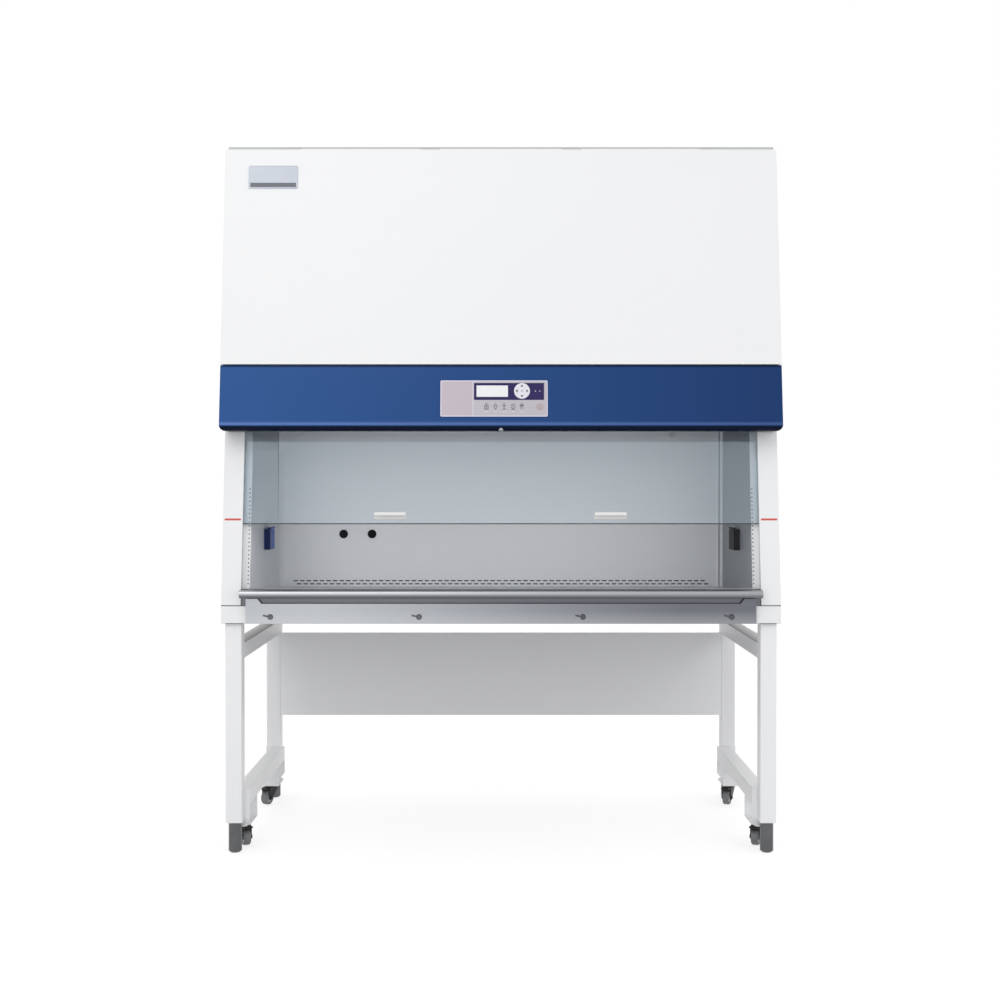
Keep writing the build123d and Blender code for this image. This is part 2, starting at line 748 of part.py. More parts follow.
def welded_tray(half_width, y_range, wall_z, plate_z, corner):
    """A flat plate with rounded rear corners, and a wall round its edge, as sheets welded together."""
    front, rear = y_range
    with BuildPart() as plate:
        coved(half_width, y_range, plate_z, corner)
    walls = [flat_sheet((-half_width, front, wall_z[0]), (half_width, front + liner_sheet, wall_z[1])),
             flat_sheet((corner - half_width, rear - liner_sheet, wall_z[0]),
                        (half_width - corner, rear, wall_z[1]))]
    for x_range in both_sides((half_width - liner_sheet, half_width)):
        walls.append(flat_sheet((x_range[0], front + liner_sheet, wall_z[0]),
                                (x_range[1], rear - corner, wall_z[1])))
    for side in (-1, 1):
        walls.append(rolled_corner(side, half_width, rear, corner, wall_z))
    return [plate] + walls


# Work chamber: stainless liner of welded sheets, coved at its rear corners, slotted and pierced for air
liner_x = chamber_x + liner_sheet
chamber_front_y = front_y - armrest_reach
beam_rear_y = front_y + cross_beam_depth
liner_top_z = chamber_top_z + liner_sheet
liner_z = (liner_bottom_z, liner_top_z)
liner_rear_y = back_wall_y + liner_sheet
liner_corner = chamber_corner + liner_sheet
side_rear_y = liner_rear_y - liner_corner
hole_back = flange_back + edge_hole_setback
edge_hole_count = 1 + int((edge_hole_top_z - edge_hole_bottom_z) / edge_hole_pitch)
edge_heights = [edge_hole_top_z - step * edge_hole_pitch for step in range(edge_hole_count)]
low_hole_count = 1 + int((chamber_depth - low_hole_start - low_hole_end) / low_hole_pitch)
liner = []
for x_range in both_sides((chamber_x, liner_x)):
    with BuildPart() as side_wall:
        box((x_range[0], chamber_front_y, liner_bottom_z), (x_range[1], side_rear_y, liner_top_z))
        # the front beam stands between the side walls and keeps them back
        box((x_range[0], chamber_front_y, liner_bottom_z), (x_range[1], beam_rear_y + seam, sill_z + seam),
            mode=Mode.SUBTRACT)
        split(bisect_by=slope_plane(flange_back), keep=Keep.BOTTOM)
        with BuildSketch(Plane.YZ.offset(x_range[0])):
            with Locations([(face_y(z, hole_back), z) for z in edge_heights]):
                Circle(edge_hole_radius)
            with Locations([(front_y + low_hole_start + step * low_hole_pitch, low_hole_z)
                            for step in range(low_hole_count)]):
                Circle(low_hole_radius)
        extrude(amount=x_range[1] - x_range[0], mode=Mode.SUBTRACT)
    liner.append(side_wall)
flange_foot = up_slope(sill_z + sheet, flange_back + sheet)
flange_head = up_slope(chamber_top_z, flange_back)
for x_range in both_sides((liner_x, width / 2 - sheet)):
    with BuildPart() as flange:
        slope_box(x_range, (flange_foot, flange_head), (flange_back, flange_back + sheet))
    liner.append(flange)
with BuildPart() as back_wall:
    box((liner_corner - liner_x, back_wall_y, liner_bottom_z), (liner_x - liner_corner, liner_rear_y, liner_top_z))
    slot_count = row_count(2 * chamber_x, slot_margin, slot_pitch)
    for row, row_z in enumerate(slot_rows_z):
        with BuildSketch(Plane.XZ.offset(-back_wall_y)):
            with Locations(((row - 0.5) * slot_pitch / 2, row_z)):
                with GridLocations(slot_pitch, 1, slot_count, 1):
                    SlotOverall(slot_length, slot_height)
        extrude(amount=-liner_sheet, mode=Mode.SUBTRACT)
    with BuildSketch(Plane.XZ.offset(-back_wall_y)):
        with Locations([(x, plug_z) for x in plug_x]):
            Circle(plug_stem_radius + running)
        with Locations((sensor_x, sensor_z)):
            Circle(sensor_radius + running)
    extrude(amount=-liner_sheet, mode=Mode.SUBTRACT)
liner.append(back_wall)
save_group(liner + [rolled_corner(side, liner_x, liner_rear_y, liner_corner, liner_z) for side in (-1, 1)],
           "work_chamber")

# Drain pan: lies on the floor sheet, its ledges and cross rib carry the tray and the grille
pan_x = chamber_x - seam
pan_front_y = beam_rear_y + seam
pan_rear_y = back_wall_y - seam
pan_floor_z = stand_top_z + floor_sheet
rib_y = front_y + tray_front
pan_walls_z = (pan_floor_z + liner_sheet, pan_rim_z)
ledge_z = (pan_rim_z - liner_sheet, pan_rim_z)
ledge_x = pan_x - pan_ledge
drain_pan = welded_tray(pan_x, (pan_front_y, pan_rear_y), pan_walls_z, (pan_floor_z, pan_walls_z[0]),
                        chamber_corner)
for x_range in both_sides((ledge_x, pan_x - liner_sheet)):
    drain_pan.append(flat_sheet((x_range[0], pan_front_y + liner_sheet, ledge_z[0]),
                                (x_range[1], pan_rear_y - chamber_corner, ledge_z[1])))
drain_pan += [
    flat_sheet((-ledge_x, pan_front_y + liner_sheet, ledge_z[0]), (ledge_x, pan_front_y + pan_ledge, ledge_z[1])),
    flat_sheet((chamber_corner - pan_x, pan_rear_y - pan_ledge, ledge_z[0]),
               (pan_x - chamber_corner, pan_rear_y - liner_sheet, ledge_z[1])),
    flat_sheet((-ledge_x, rib_y - pan_ledge, ledge_z[0]), (ledge_x, rib_y + pan_ledge, ledge_z[1])),
    flat_sheet((liner_sheet - pan_x, rib_y - liner_sheet, pan_walls_z[0]),
               (pan_x - liner_sheet, rib_y, ledge_z[0]))]
save_group(drain_pan, "drain_pan")

# Work tray: lifts out, stands on its skirt
tray_x = chamber_x - tray_gap
tray_rear_y = back_wall_y - tray_gap
save_group(welded_tray(tray_x, (rib_y, tray_rear_y), (pan_rim_z, worktop_z - liner_sheet),
                       (worktop_z - liner_sheet, worktop_z), tray_corner), "work_tray")

# Front grille: a land that the sash closes on, a slotted slope and a lip that stands on the rib
grille_x = chamber_x - seam
land_y = front_y + sheet
slope_start_y = land_y + grille_land
lip_y = rib_y - seam
land_z = armrest_top_z + liner_sheet
with BuildPart() as front_grille:
    with BuildSketch(Plane.YZ.offset(-grille_x)):
        Polygon((land_y, armrest_top_z), (land_y, land_z), (slope_start_y, land_z),
                (lip_y, grille_drop_z), (lip_y, pan_rim_z), (lip_y - liner_sheet, pan_rim_z),
                (lip_y - liner_sheet, grille_drop_z - liner_sheet),
                (slope_start_y - liner_sheet, armrest_top_z), align=None)
    extrude(amount=2 * grille_x)
    row_gap = (lip_y - slope_start_y) / 2
    with BuildSketch(Plane.XY.offset(pan_rim_z)):
        with Locations((0, (slope_start_y + lip_y) / 2)):
            with GridLocations(grille_slot_pitch, row_gap,
                               row_count(2 * chamber_x, grille_slot_margin, grille_slot_pitch), 2):
                SlotOverall(grille_slot[1], grille_slot[0], rotation=90)
    extrude(amount=land_z - pan_rim_z, mode=Mode.SUBTRACT)
front_grille.part.label = "front_grille"
export_step(front_grille.part, "parts/front_grille.step")

# Armrest: a rounded hollow roll on a web that stands on the front beam
roll_rear_y = front_y + sheet / 2
roll_middle = ((front_y - armrest_reach + roll_rear_y) / 2, armrest_top_z - armrest_height / 2)
roll_depth = roll_rear_y - (front_y - armrest_reach)
with BuildPart() as armrest:
    with BuildSketch(Plane.YZ.offset(-armrest_x)):
        with Locations(roll_middle):
            RectangleRounded(roll_depth, armrest_height, armrest_round)
    extrude(amount=2 * armrest_x)
    box((-armrest_x, front_y, sill_z), (armrest_x, front_y + sheet, armrest_top_z - armrest_height / 2))
    box((-armrest_x, roll_middle[0], armrest_top_z - liner_sheet),
        (armrest_x, front_y + armrest_ledge, armrest_top_z))
    with BuildSketch(Plane.YZ.offset(-armrest_x + sheet)):
        with Locations(roll_middle):
            RectangleRounded(roll_depth - 2 * liner_sheet, armrest_height - 2 * liner_sheet,
                             armrest_round - liner_sheet)
    extrude(amount=2 * (armrest_x - sheet), mode=Mode.SUBTRACT)
armrest.part.label = "armrest"
export_step(armrest.part, "parts/armrest.step")

# Apron: a shallow stainless cover with an air notch along its top edge
apron_x = beam_x - seam
apron_y = front_y - apron_reach
notch_z = apron_top_z - apron_notch_depth
with BuildPart() as apron:
    box((-apron_x, apron_y, stand_top_z), (apron_x, front_y, sill_z))
    box((-apron_x, apron_y, sill_z), (apron_x, apron_y + liner_sheet, apron_top_z))
    box((-apron_x + liner_sheet, apron_y + liner_sheet, stand_top_z + liner_sheet),
        (apron_x - liner_sheet, front_y, sill_z), mode=Mode.SUBTRACT)
    with BuildSketch(Plane.XZ.offset(-apron_y)):
        half = beam_x - apron_notch_inset
        Polygon((-half, notch_z), (half, notch_z), (half + apron_notch_slant, apron_top_z),
                (-half - apron_notch_slant, apron_top_z), align=None)
        with Locations([(x, apron_screw_z) for x in apron_screw_x]):
            Circle(screw_radius + running)
    extrude(amount=-liner_sheet, mode=Mode.SUBTRACT)
apron.part.label = "apron"
export_step(apron.part, "parts/apron.step")

# Captive quarter-turn screws that hold the apron, each with a small wing
with BuildPart() as apron_screws:
    head = Plane.XZ.offset(-apron_y)
    with BuildSketch(head):
        with Locations([(x, apron_screw_z) for x in apron_screw_x]):
            Circle(screw_head_radius)
    extrude(amount=screw_head_height)
    chamfer(apron_screws.edges().group_by(Axis.Y)[0], 1.2)
    wing_reach = screw_head_radius + screw_wing[0] / 2
    with BuildSketch(head):
        with Locations([Location((x, apron_screw_z), -screw_wing_angle) for x in apron_screw_x]):
            with Locations((-wing_reach + 2, 0)):
                SlotOverall(screw_wing[0] + 4, screw_wing[1])
    extrude(amount=screw_head_height - 1)
    with BuildSketch(head):
        with Locations([(x, apron_screw_z) for x in apron_screw_x]):
            Circle(screw_radius)
    extrude(amount=-screw_grip)
apron_screws.part.label = "apron_screws"
export_step(apron_screws.part, "parts/apron_screws.step")

# Air handling: diffuser, filters, plenum and fan, all sealed inside the body
filter_bottom_z = chamber_top_z + diffuser_lip
diffuser_x = chamber_x - seam
diffuser_front_y = face_y(filter_bottom_z, flange_back + sheet)
diffuser_rear_y = back_wall_y - seam
with BuildPart() as diffuser:
    coved(diffuser_x, (diffuser_front_y, diffuser_rear_y), (chamber_top_z, filter_bottom_z),
          chamber_corner)
    coved(diffuser_x - liner_sheet, (diffuser_front_y + liner_sheet, diffuser_rear_y - liner_sheet),
          (chamber_top_z + liner_sheet, filter_bottom_z), chamber_corner - liner_sheet,
          mode=Mode.SUBTRACT)
    with BuildSketch(Plane.XY.offset(chamber_top_z)):
        with Locations((0, (diffuser_front_y + diffuser_rear_y) / 2)):
            with GridLocations(diffuser_hole_pitch, diffuser_hole_pitch,
                               row_count(2 * chamber_x, diffuser_hole_margin, diffuser_hole_pitch),
                               row_count(diffuser_rear_y - diffuser_front_y, diffuser_hole_margin,
                                         diffuser_hole_pitch)):
                Circle(diffuser_hole_radius)
    extrude(amount=liner_sheet, mode=Mode.SUBTRACT)
diffuser.part.label = "diffuser"
export_step(diffuser.part, "parts/diffuser.step")


def panel_filter(half_width, y_range, bottom_z, top_z):
    """A filter's frame and the pleated pack inside it."""
    low = (-half_width, front_y + y_range[0], bottom_z)
    high = (half_width, front_y + y_range[1], top_z)
    inner_low = (low[0] + filter_wall, low[1] + filter_wall, low[2])
    inner_high = (high[0] - filter_wall, high[1] - filter_wall, high[2])
    with BuildPart() as frame:
        box(low, high)
        box(inner_low, inner_high, mode=Mode.SUBTRACT)
    with BuildPart() as pack:
        box((inner_low[0], inner_low[1], bottom_z + filter_wall / 2),
            (inner_high[0], inner_high[1], top_z - filter_wall / 2))
    return [frame, pack]


exhaust_top_z = plenum_top_z + exhaust_filter_height
save_group(panel_filter(supply_filter_x, supply_filter_y, filter_bottom_z, deck_z), "supply_filter")
save_group(panel_filter(exhaust_filter_x, exhaust_filter_y, plenum_top_z, exhaust_top_z), "exhaust_filter")

# Plenum: a sheet box on a deck that reaches to both side panels, open to both filters
plenum_rear_y = front_y + plenum_depth
deck_top_z = deck_z + deck_sheet


def plenum_outline(inset):
    """The plenum's shape seen from the side, drawn in by `inset` all round."""
    low = deck_top_z - sheet + inset
    high = plenum_top_z - inset
    return [(face_y(low, plenum_back + inset), low), (plenum_rear_y - inset, low),
            (plenum_rear_y - inset, high), (face_y(high, plenum_back + inset), high)]


with BuildPart() as plenum:
    with BuildSketch(Plane.YZ.offset(-plenum_x)):
        Polygon(*plenum_outline(0), align=None)
    extrude(amount=2 * plenum_x)
    box((-width / 2 + sheet, face_y(deck_z, deck_back), deck_z),
        (width / 2 - sheet, rear_y - sheet, deck_top_z))
    with BuildSketch(Plane.YZ.offset(-plenum_x + sheet)):
        Polygon(*plenum_outline(sheet), align=None)
    extrude(amount=2 * (plenum_x - sheet), mode=Mode.SUBTRACT)
    duct_y = (plenum_rear_y + sheet, rear_y - 3 * sheet)
    box((-plenum_x, duct_y[0], deck_z), (plenum_x, duct_y[1], deck_top_z), mode=Mode.SUBTRACT)
    for half_width, y_range, low, high in (
            (supply_filter_x, supply_filter_y, deck_z, deck_top_z),
            (exhaust_filter_x, exhaust_filter_y, plenum_top_z - sheet, plenum_top_z)):
        box((-half_width + 2 * filter_wall, front_y + y_range[0] + 2 * filter_wall, low),
            (half_width - 2 * filter_wall, front_y + y_range[1] - 2 * filter_wall, high), mode=Mode.SUBTRACT)
    with BuildSketch(Plane.XZ.offset(-plenum_rear_y)):
        with Locations((0, fan_z)):
            Circle(inlet_radius)
    extrude(amount=sheet, mode=Mode.SUBTRACT)
plenum.part.label = "plenum"
export_step(plenum.part, "parts/plenum.step")

# Fan: inlet ring on the plenum's rear wall, motor on a foot, and the impeller on its shaft
inlet_face_y = plenum_rear_y - sheet
shroud_rear_y = inlet_face_y - inlet_length + 4
backplate_y = shroud_rear_y - fan_depth
motor_rear_y = backplate_y - fan_motor_gap
motor_front_y = motor_rear_y - fan_motor_length
with BuildPart() as inlet_ring:
    with BuildSketch(Plane.XZ.offset(-inlet_face_y)):
        with Locations((0, fan_z)):
            Circle(inlet_radius + inlet_flange)
            Circle(inlet_radius, mode=Mode.SUBTRACT)
    extrude(amount=sheet)
    with BuildSketch(Plane.XZ.offset(-inlet_face_y)):
        with Locations((0, fan_z)):
            Circle(inlet_radius + sheet)
            Circle(inlet_radius, mode=Mode.SUBTRACT)
    extrude(amount=inlet_length)
motor_y = (motor_front_y + motor_rear_y) / 2
support_front_y = front_y + supply_filter_y[0] + 2 * filter_wall - sheet
support_rear_y = front_y + supply_filter_y[1] - 2 * filter_wall + sheet
with BuildPart() as fan_motor:
    with BuildSketch(Plane.XZ.offset(-motor_rear_y)):
        with Locations((0, fan_z)):
            Circle(fan_motor_radius)
    extrude(amount=fan_motor_length)
    box((-fan_foot_width / 2, motor_front_y + 8, deck_top_z + fan_rail_height),
        (fan_foot_width / 2, motor_rear_y - 8, fan_z - fan_motor_radius / 2))
    box((-fan_foot_width / 2, support_front_y - 4, deck_top_z),
        (fan_foot_width / 2, support_rear_y + 10, deck_top_z + fan_rail_height))
    with BuildSketch(Plane.XZ.offset(-motor_rear_y)):
        with Locations((0, fan_z)):
            Circle(fan_shaft_radius + running)
    extrude(amount=fan_motor_length, mode=Mode.SUBTRACT)
save_group([inlet_ring, fan_motor], "fan_mount")

with BuildPart() as fan_impeller:
    back = Plane.XZ.offset(-backplate_y)
    with BuildSketch(back):
        with Locations((0, fan_z)):
            Circle(fan_radius)
    extrude(amount=-fan_plate)
    with BuildSketch(Plane.XZ.offset(-shroud_rear_y)):
        with Locations((0, fan_z)):
            Circle(fan_radius)
            Circle(inlet_radius + 3 * sheet, mode=Mode.SUBTRACT)
    extrude(amount=fan_plate)
    blade_mid = (fan_radius + inlet_radius) / 2 - fan_plate
    with BuildSketch(back):
        with Locations((0, fan_z)):
            with PolarLocations(blade_mid, blade_count):
                Rectangle(0.55 * inlet_radius, blade_thick, rotation=blade_lean)
    extrude(amount=-(fan_depth - fan_plate))
    with BuildSketch(back):
        with Locations((0, fan_z)):
            Circle(fan_hub_radius)
    extrude(amount=motor_rear_y - backplate_y + seam, both=True)
    with BuildSketch(back):
        with Locations((0, fan_z)):
            Circle(fan_shaft_radius)
    extrude(amount=backplate_y - motor_front_y - seam)
fan_impeller.part.label = "fan_impeller"
export_step(fan_impeller.part, "parts/fan_impeller.step")

# Sash: a frameless pane in two felted guides, lifted by its top rail on two toothed belts
glass_foot = up_slope(sash_bottom_z, glass_back)
glass_head = glass_foot + glass_length
glass_range = (glass_back, glass_back + glass_thick)
with BuildPart() as sash_glass:
    slope_box((-glass_side, glass_side), (glass_foot, glass_head), glass_range)
sash_glass.part.label = "sash_glass"
export_step(sash_glass.part, "parts/sash_glass.step")

rail_slope = (glass_head - top_rail_cover, glass_head - top_rail_cover + top_rail_height)
arm_slope = (rail_slope[1] - top_rail_height / 2, rail_slope[1])
arm_back = (glass_back + (glass_thick - arm_thick) / 2, glass_back + (glass_thick + arm_thick) / 2)
belt_back = (belt_rear_back - belt_thick / 2 - seam, belt_rear_back + belt_thick / 2 + seam)
arm_start = guide_inner - 2
with BuildPart() as sash_top_rail:
    slope_box((-arm_start, arm_start), rail_slope, top_rail_back)
    for x_range in both_sides((arm_start, clamp_x[1])):
        slope_box(x_range, arm_slope, arm_back)
    for x_range in both_sides(clamp_x):
        slope_box(x_range, arm_slope, clamp_back)
    for x_range in both_sides((belt_x[0] - seam, belt_x[1] + seam)):
        slope_box(x_range, arm_slope, belt_back, mode=Mode.SUBTRACT)
    slope_box((-clamp_x[0], clamp_x[0]), (rail_slope[0], glass_head), glass_range, mode=Mode.SUBTRACT)
sash_top_rail.part.label = "sash_top_rail"
export_step(sash_top_rail.part, "parts/sash_top_rail.step")

pull_foot = glass_foot + pull_rise - pull_size[1] / 2
with BuildPart() as sash_pulls:
    for middle in pull_x:
        x_range = (middle - pull_size[0] / 2, middle + pull_size[0] / 2)
        slope_box(x_range, (pull_foot, pull_foot + pull_size[1]), (glass_back - pull_thick, glass_back))
        slope_box(x_range, (pull_foot + pull_size[1] - pull_thick, pull_foot + pull_size[1]),
                  (glass_back - pull_reach, glass_back))
        slope_box(x_range, (pull_foot + pull_size[1] / 2, pull_foot + pull_size[1]),
                  (glass_back - pull_reach, glass_back - pull_reach + pull_thick))
sash_pulls.part.label = "sash_pulls"
export_step(sash_pulls.part, "parts/sash_pulls.step")

with BuildPart() as sash_guides:
    for x_range in both_sides((guide_inner, guide_inner + guide_width)):
        slope_box(x_range, (guide_start, guide_end), (sheet, glass_back - felt_gap))
        slope_box(x_range, (guide_start, guide_end), (glass_range[1] + felt_gap, flange_back))
sash_guides.part.label = "sash_guides"
export_step(sash_guides.part, "parts/sash_guides.step")

# Cross shaft with both upper pulleys, and the lower pulleys on their studs
pulley_x = (belt_x[0] - seam, belt_x[1] + seam)


def belt_pulley(x, slope):
    """A flanged pulley as wide as the belt, on an axis along X."""
    flange_radius, flange_width = pulley_flange
    cross_rod(x, slope, pulley_back, pulley_radius)
    cross_rod((x[0] - flange_width, x[0]), slope, pulley_back, flange_radius)
    cross_rod((x[1], x[1] + flange_width), slope, pulley_back, flange_radius)


with BuildPart() as drive_shaft:
    cross_rod((-clamp_x[1], clamp_x[1]), shaft_slope, pulley_back, shaft_radius)
    for x_range in both_sides(pulley_x):
        belt_pulley(x_range, shaft_slope)
drive_shaft.part.label = "drive_shaft"
export_step(drive_shaft.part, "parts/drive_shaft.step")

with BuildPart() as belt_idlers:
    for x_range in both_sides(pulley_x):
        belt_pulley(x_range, idler_slope)
        reach = (x_range[0] - pulley_flange[1], x_range[1] + pulley_flange[1])
        cross_rod(reach, idler_slope, pulley_back, idler_pin_radius + running, mode=Mode.SUBTRACT)
belt_idlers.part.label = "belt_idlers"
export_step(belt_idlers.part, "parts/belt_idlers.step")

with BuildPart() as drive_belts:
    for x_range in both_sides(belt_x):
        with BuildSketch(slope_side(x_range[0])) as loop:
            with Locations(((shaft_slope + idler_slope) / 2, -pulley_back)):
                SlotCenterToCenter(shaft_slope - idler_slope, 2 * belt_radius + belt_thick)
                SlotCenterToCenter(shaft_slope - idler_slope, 2 * belt_radius - belt_thick, mode=Mode.SUBTRACT)
        extrude(amount=x_range[1] - x_range[0])
drive_belts.part.label = "drive_belts"
export_step(drive_belts.part, "parts/drive_belts.step")

# Sash drive: worm gearbox and motor on the plenum's front, and a bearing block at each pillar
with BuildPart() as gear_motor:
    slope_box(gearbox_x, (shaft_slope - gearbox_height / 2, shaft_slope + gearbox_height / 2),
              (sheet, plenum_back))
    cross_rod(gearbox_x, shaft_slope, pulley_back, shaft_radius + running, mode=Mode.SUBTRACT)
    motor_foot = Plane(origin=slope_plane(plenum_back / 2).from_local_coords(
        (sum(gearbox_x) / 2, shaft_slope + gearbox_height / 2, 0)),
        x_dir=(1, 0, 0), z_dir=(0, sin(lean), cos(lean)))
    with BuildSketch(motor_foot):
        Circle(motor_radius)
    extrude(amount=motor_length)


def bearing(x):
    """A block on the pillar's inner face that carries one end of the cross shaft."""
    with BuildPart() as block:
        slope_box(x, (shaft_slope - bearing_block[1] / 2, shaft_slope + bearing_block[1] / 2),
                  (sheet, flange_back))
        cross_rod(x, shaft_slope, pulley_back, shaft_radius + running, mode=Mode.SUBTRACT)
    return block


save_group([gear_motor] + [bearing(x) for x in both_sides((guide_inner, guide_inner + bearing_block[0]))],
           "sash_drive")

# Hood: the white upper cover, open at its back, hangs from the roof's hinge pin
cover_bottom_z = fascia_top_z + fascia_gap
cover_top_z = body_top_z - 2 * seam


def hood_outline(inset, low, high, rear):
    """The hood seen from the side: its face drawn in by `inset`, its rear at `rear`."""
    return [(face_y(low, inset - hood_depth), low), (face_y(low, rear), low),
            (face_y(high, rear), high), (face_y(high, inset - hood_depth), high)]


with BuildPart() as hood_cover:
    with BuildSketch(Plane.YZ.offset(-width / 2)):
        Polygon(*hood_outline(0, cover_bottom_z, cover_top_z, -hood_gap), align=None)
    extrude(amount=width)
    with BuildSketch(Plane.YZ.offset(-width / 2 + hood_sheet)):
        Polygon(*hood_outline(hood_sheet, cover_bottom_z + hood_sheet, cover_top_z - hood_sheet, 0),
                align=None)
    extrude(amount=width - 2 * hood_sheet, mode=Mode.SUBTRACT)
    for left, right in zip(hinge_fixed_x, hinge_fixed_x[1:]):
        start = left + hinge_barrel_length / 2 + seam
        length = right - left - hinge_barrel_length - 2 * seam
        with BuildSketch(Plane.YZ.offset(start)):
            with Locations((hinge_y, hinge_z)):
                Circle(hinge_barrel_radius)
            with Locations((hinge_y, hinge_z - hinge_offset / 2 - seam)):
                Rectangle(hinge_offset, hinge_offset + 2 * seam)
            with Locations((hinge_y, hinge_z)):
                Circle(hinge_pin_radius + running, mode=Mode.SUBTRACT)
        extrude(amount=length)
hood_cover.part.label = "hood_cover"
export_step(hood_cover.part, "parts/hood_cover.step")

# Control fascia: the blue moulding under the cover, rounded along its lower edge and corners
fascia_shapes = []
for inset, grow in ((0.0, 0.0), (fascia_wall, 2 * fascia_wall)):
    with BuildPart() as shape:
        with BuildSketch(Plane.YZ.offset(-width / 2 + inset)):
            Polygon(*hood_outline(inset, hood_bottom_z + inset, fascia_top_z + grow, grow - hood_gap),
                    align=None)
        extrude(amount=width - 2 * inset)
        low_edges = shape.edges().group_by(Axis.Z)[0]
        rear_edge = low_edges.sort_by(Axis.Y)[-1]
        rounded = [edge for edge in low_edges if edge.center().Y < rear_edge.center().Y - 1]
        fillet(rounded, fascia_round - inset)
    fascia_shapes.append(shape.part)

lock_slope = up_slope(hood_bottom_z + fascia_round, -hood_depth + fascia_round)
lock_centre = slope_plane(-hood_depth + fascia_round).from_local_coords((0, lock_slope, 0))
lock_plane = Plane(origin=lock_centre, x_dir=(1, 0, 0), z_dir=(0, -sin(radians(40)), -cos(radians(40))))
with BuildPart() as control_fascia:
    add(fascia_shapes[0])
    add(fascia_shapes[1], mode=Mode.SUBTRACT)
    slit_low = up_slope(hood_bottom_z, -fascia_slit) - fascia_wall
    slope_box((-column_x, column_x), (slit_low, slit_low + 3 * fascia_wall), (-fascia_slit, 0),
              mode=Mode.SUBTRACT)
    with BuildSketch(lock_plane):
        Circle(lock_radius + running)
    extrude(amount=2 * fascia_round, mode=Mode.SUBTRACT)
control_fascia.part.label = "control_fascia"
export_step(control_fascia.part, "parts/control_fascia.step")

# Control plate on the fascia, with a shallow window and holes for its two moving keys
plate_slope = up_slope(plate_z, -hood_depth)
plate_plane = slope_plane(-hood_depth)


def on_plate(place):
    """A place given from the plate's upper left corner, in the slope's own directions."""
    return (plate_x - plate_width / 2 + place[0], plate_slope + plate_height / 2 - place[1])


with BuildPart() as control_plate:
    with BuildSketch(plate_plane):
        with Locations((plate_x, plate_slope)):
            RectangleRounded(plate_width, plate_height, plate_corner)
    extrude(amount=plate_thick)
    chamfer(control_plate.edges().group_by(Axis.Y)[0], 0.8)
    with BuildSketch(plate_plane.offset(plate_thick - window_depth)):
        with Locations(on_plate((window_corner[0] + window_size[0] / 2, window_corner[1] + window_size[1] / 2))):
            RectangleRounded(*window_size, 2)
    extrude(amount=window_depth, mode=Mode.SUBTRACT)
    with BuildSketch(plate_plane):
        with Locations(on_plate(pad_place)):
            Circle(pad_radius + seam)
        with Locations(on_plate(power_place)):
            Circle(power_radius + seam)
    extrude(amount=plate_thick, mode=Mode.SUBTRACT)
control_plate.part.label = "control_plate"
export_step(control_plate.part, "parts/control_plate.step")

for name, place, radius in (("nav_pad", pad_place, pad_radius), ("power_key", power_place, power_radius)):
    with BuildPart() as key:
        with BuildSketch(plate_plane.offset(key_lift)):
            with Locations(on_plate(place)):
                Circle(radius)
        extrude(amount=key_thick)
        fillet(key.edges().group_by(Axis.Y)[0], 1)
    key.part.label = name
    export_step(key.part, f"parts/{name}.step")

# Hood lock: a turned barrel in the fascia's rounded edge, with a cam behind the wall
lock_face = fascia_round + lock_reach
with BuildPart() as hood_lock:
    with BuildSketch(lock_plane.offset(lock_face - lock_depth)):
        Circle(lock_radius)
    extrude(amount=lock_depth)
    fillet(hood_lock.edges().group_by(Axis.Z)[0], 2)
    with BuildSketch(lock_plane.offset(lock_face - lock_depth)):
        with Locations((0, 0)):
            SlotOverall(3 * lock_radius, 1.6 * lock_radius)
    extrude(amount=sheet)
hood_lock.part.label = "hood_lock"
export_step(hood_lock.part, "parts/hood_lock.step")


# Outlets on the side walls: a box with a hinge pin along its top, and a lid that swings up
def outlet(side, middle):
    """The fixed box and the hinged lid of one outlet."""
    long, tall, proud = outlet_size
    wall_x = side * chamber_x
    face_x = wall_x - side * proud
    y_range = (front_y + middle - long / 2, front_y + middle + long / 2)
    pin = (face_x - side * lid_barrel_radius, outlet_z + tall / 2 + lid_barrel_radius)
    knuckle = long / 4
    with BuildPart() as outlet_box:
        x_range = sorted((wall_x, face_x))
        box((x_range[0], y_range[0], outlet_z - tall / 2), (x_range[1], y_range[1], outlet_z + tall / 2))
        for start in (y_range[0], y_range[1] - knuckle + seam):
            with BuildSketch(Plane.XZ.offset(-start)):
                with Locations(pin):
                    Circle(lid_barrel_radius)
                with Locations((face_x, outlet_z + tall / 2 - lid_barrel_radius)):
                    Rectangle(2 * lid_pin_radius, 3 * lid_barrel_radius, align=(Align.CENTER, Align.MIN))
            extrude(amount=-(knuckle - seam))
        with BuildSketch(Plane.XZ.offset(-y_range[0])):
            with Locations(pin):
                Circle(lid_pin_radius)
        extrude(amount=-long)
        recess = min(long, tall) - 2 * outlet_rim
        with BuildSketch(Plane.YZ.offset(face_x)):
            with Locations((front_y + middle, outlet_z)):
                Circle(recess / 2)
        extrude(amount=side * proud * 0.6, mode=Mode.SUBTRACT)
    with BuildPart() as lid:
        gap_x = face_x - side * seam
        x_range = sorted((gap_x, gap_x - side * lid_thick))
        box((x_range[0], y_range[0], outlet_z - tall / 2),
            (x_range[1], y_range[1], outlet_z + tall / 2 - lid_barrel_radius))
        box((x_range[0], y_range[0] + knuckle + seam, outlet_z),
            (x_range[1], y_range[1] - knuckle - seam, pin[1]))
        with BuildSketch(Plane.XZ.offset(-(y_range[0] + knuckle + seam))):
            with Locations(pin):
                Circle(lid_barrel_radius)
        extrude(amount=-(long - 2 * knuckle - 2 * seam))
        with BuildSketch(Plane.XZ.offset(-y_range[0])):
            with Locations(pin):
                Circle(lid_pin_radius + running)
        extrude(amount=-long, mode=Mode.SUBTRACT)
    return outlet_box, lid


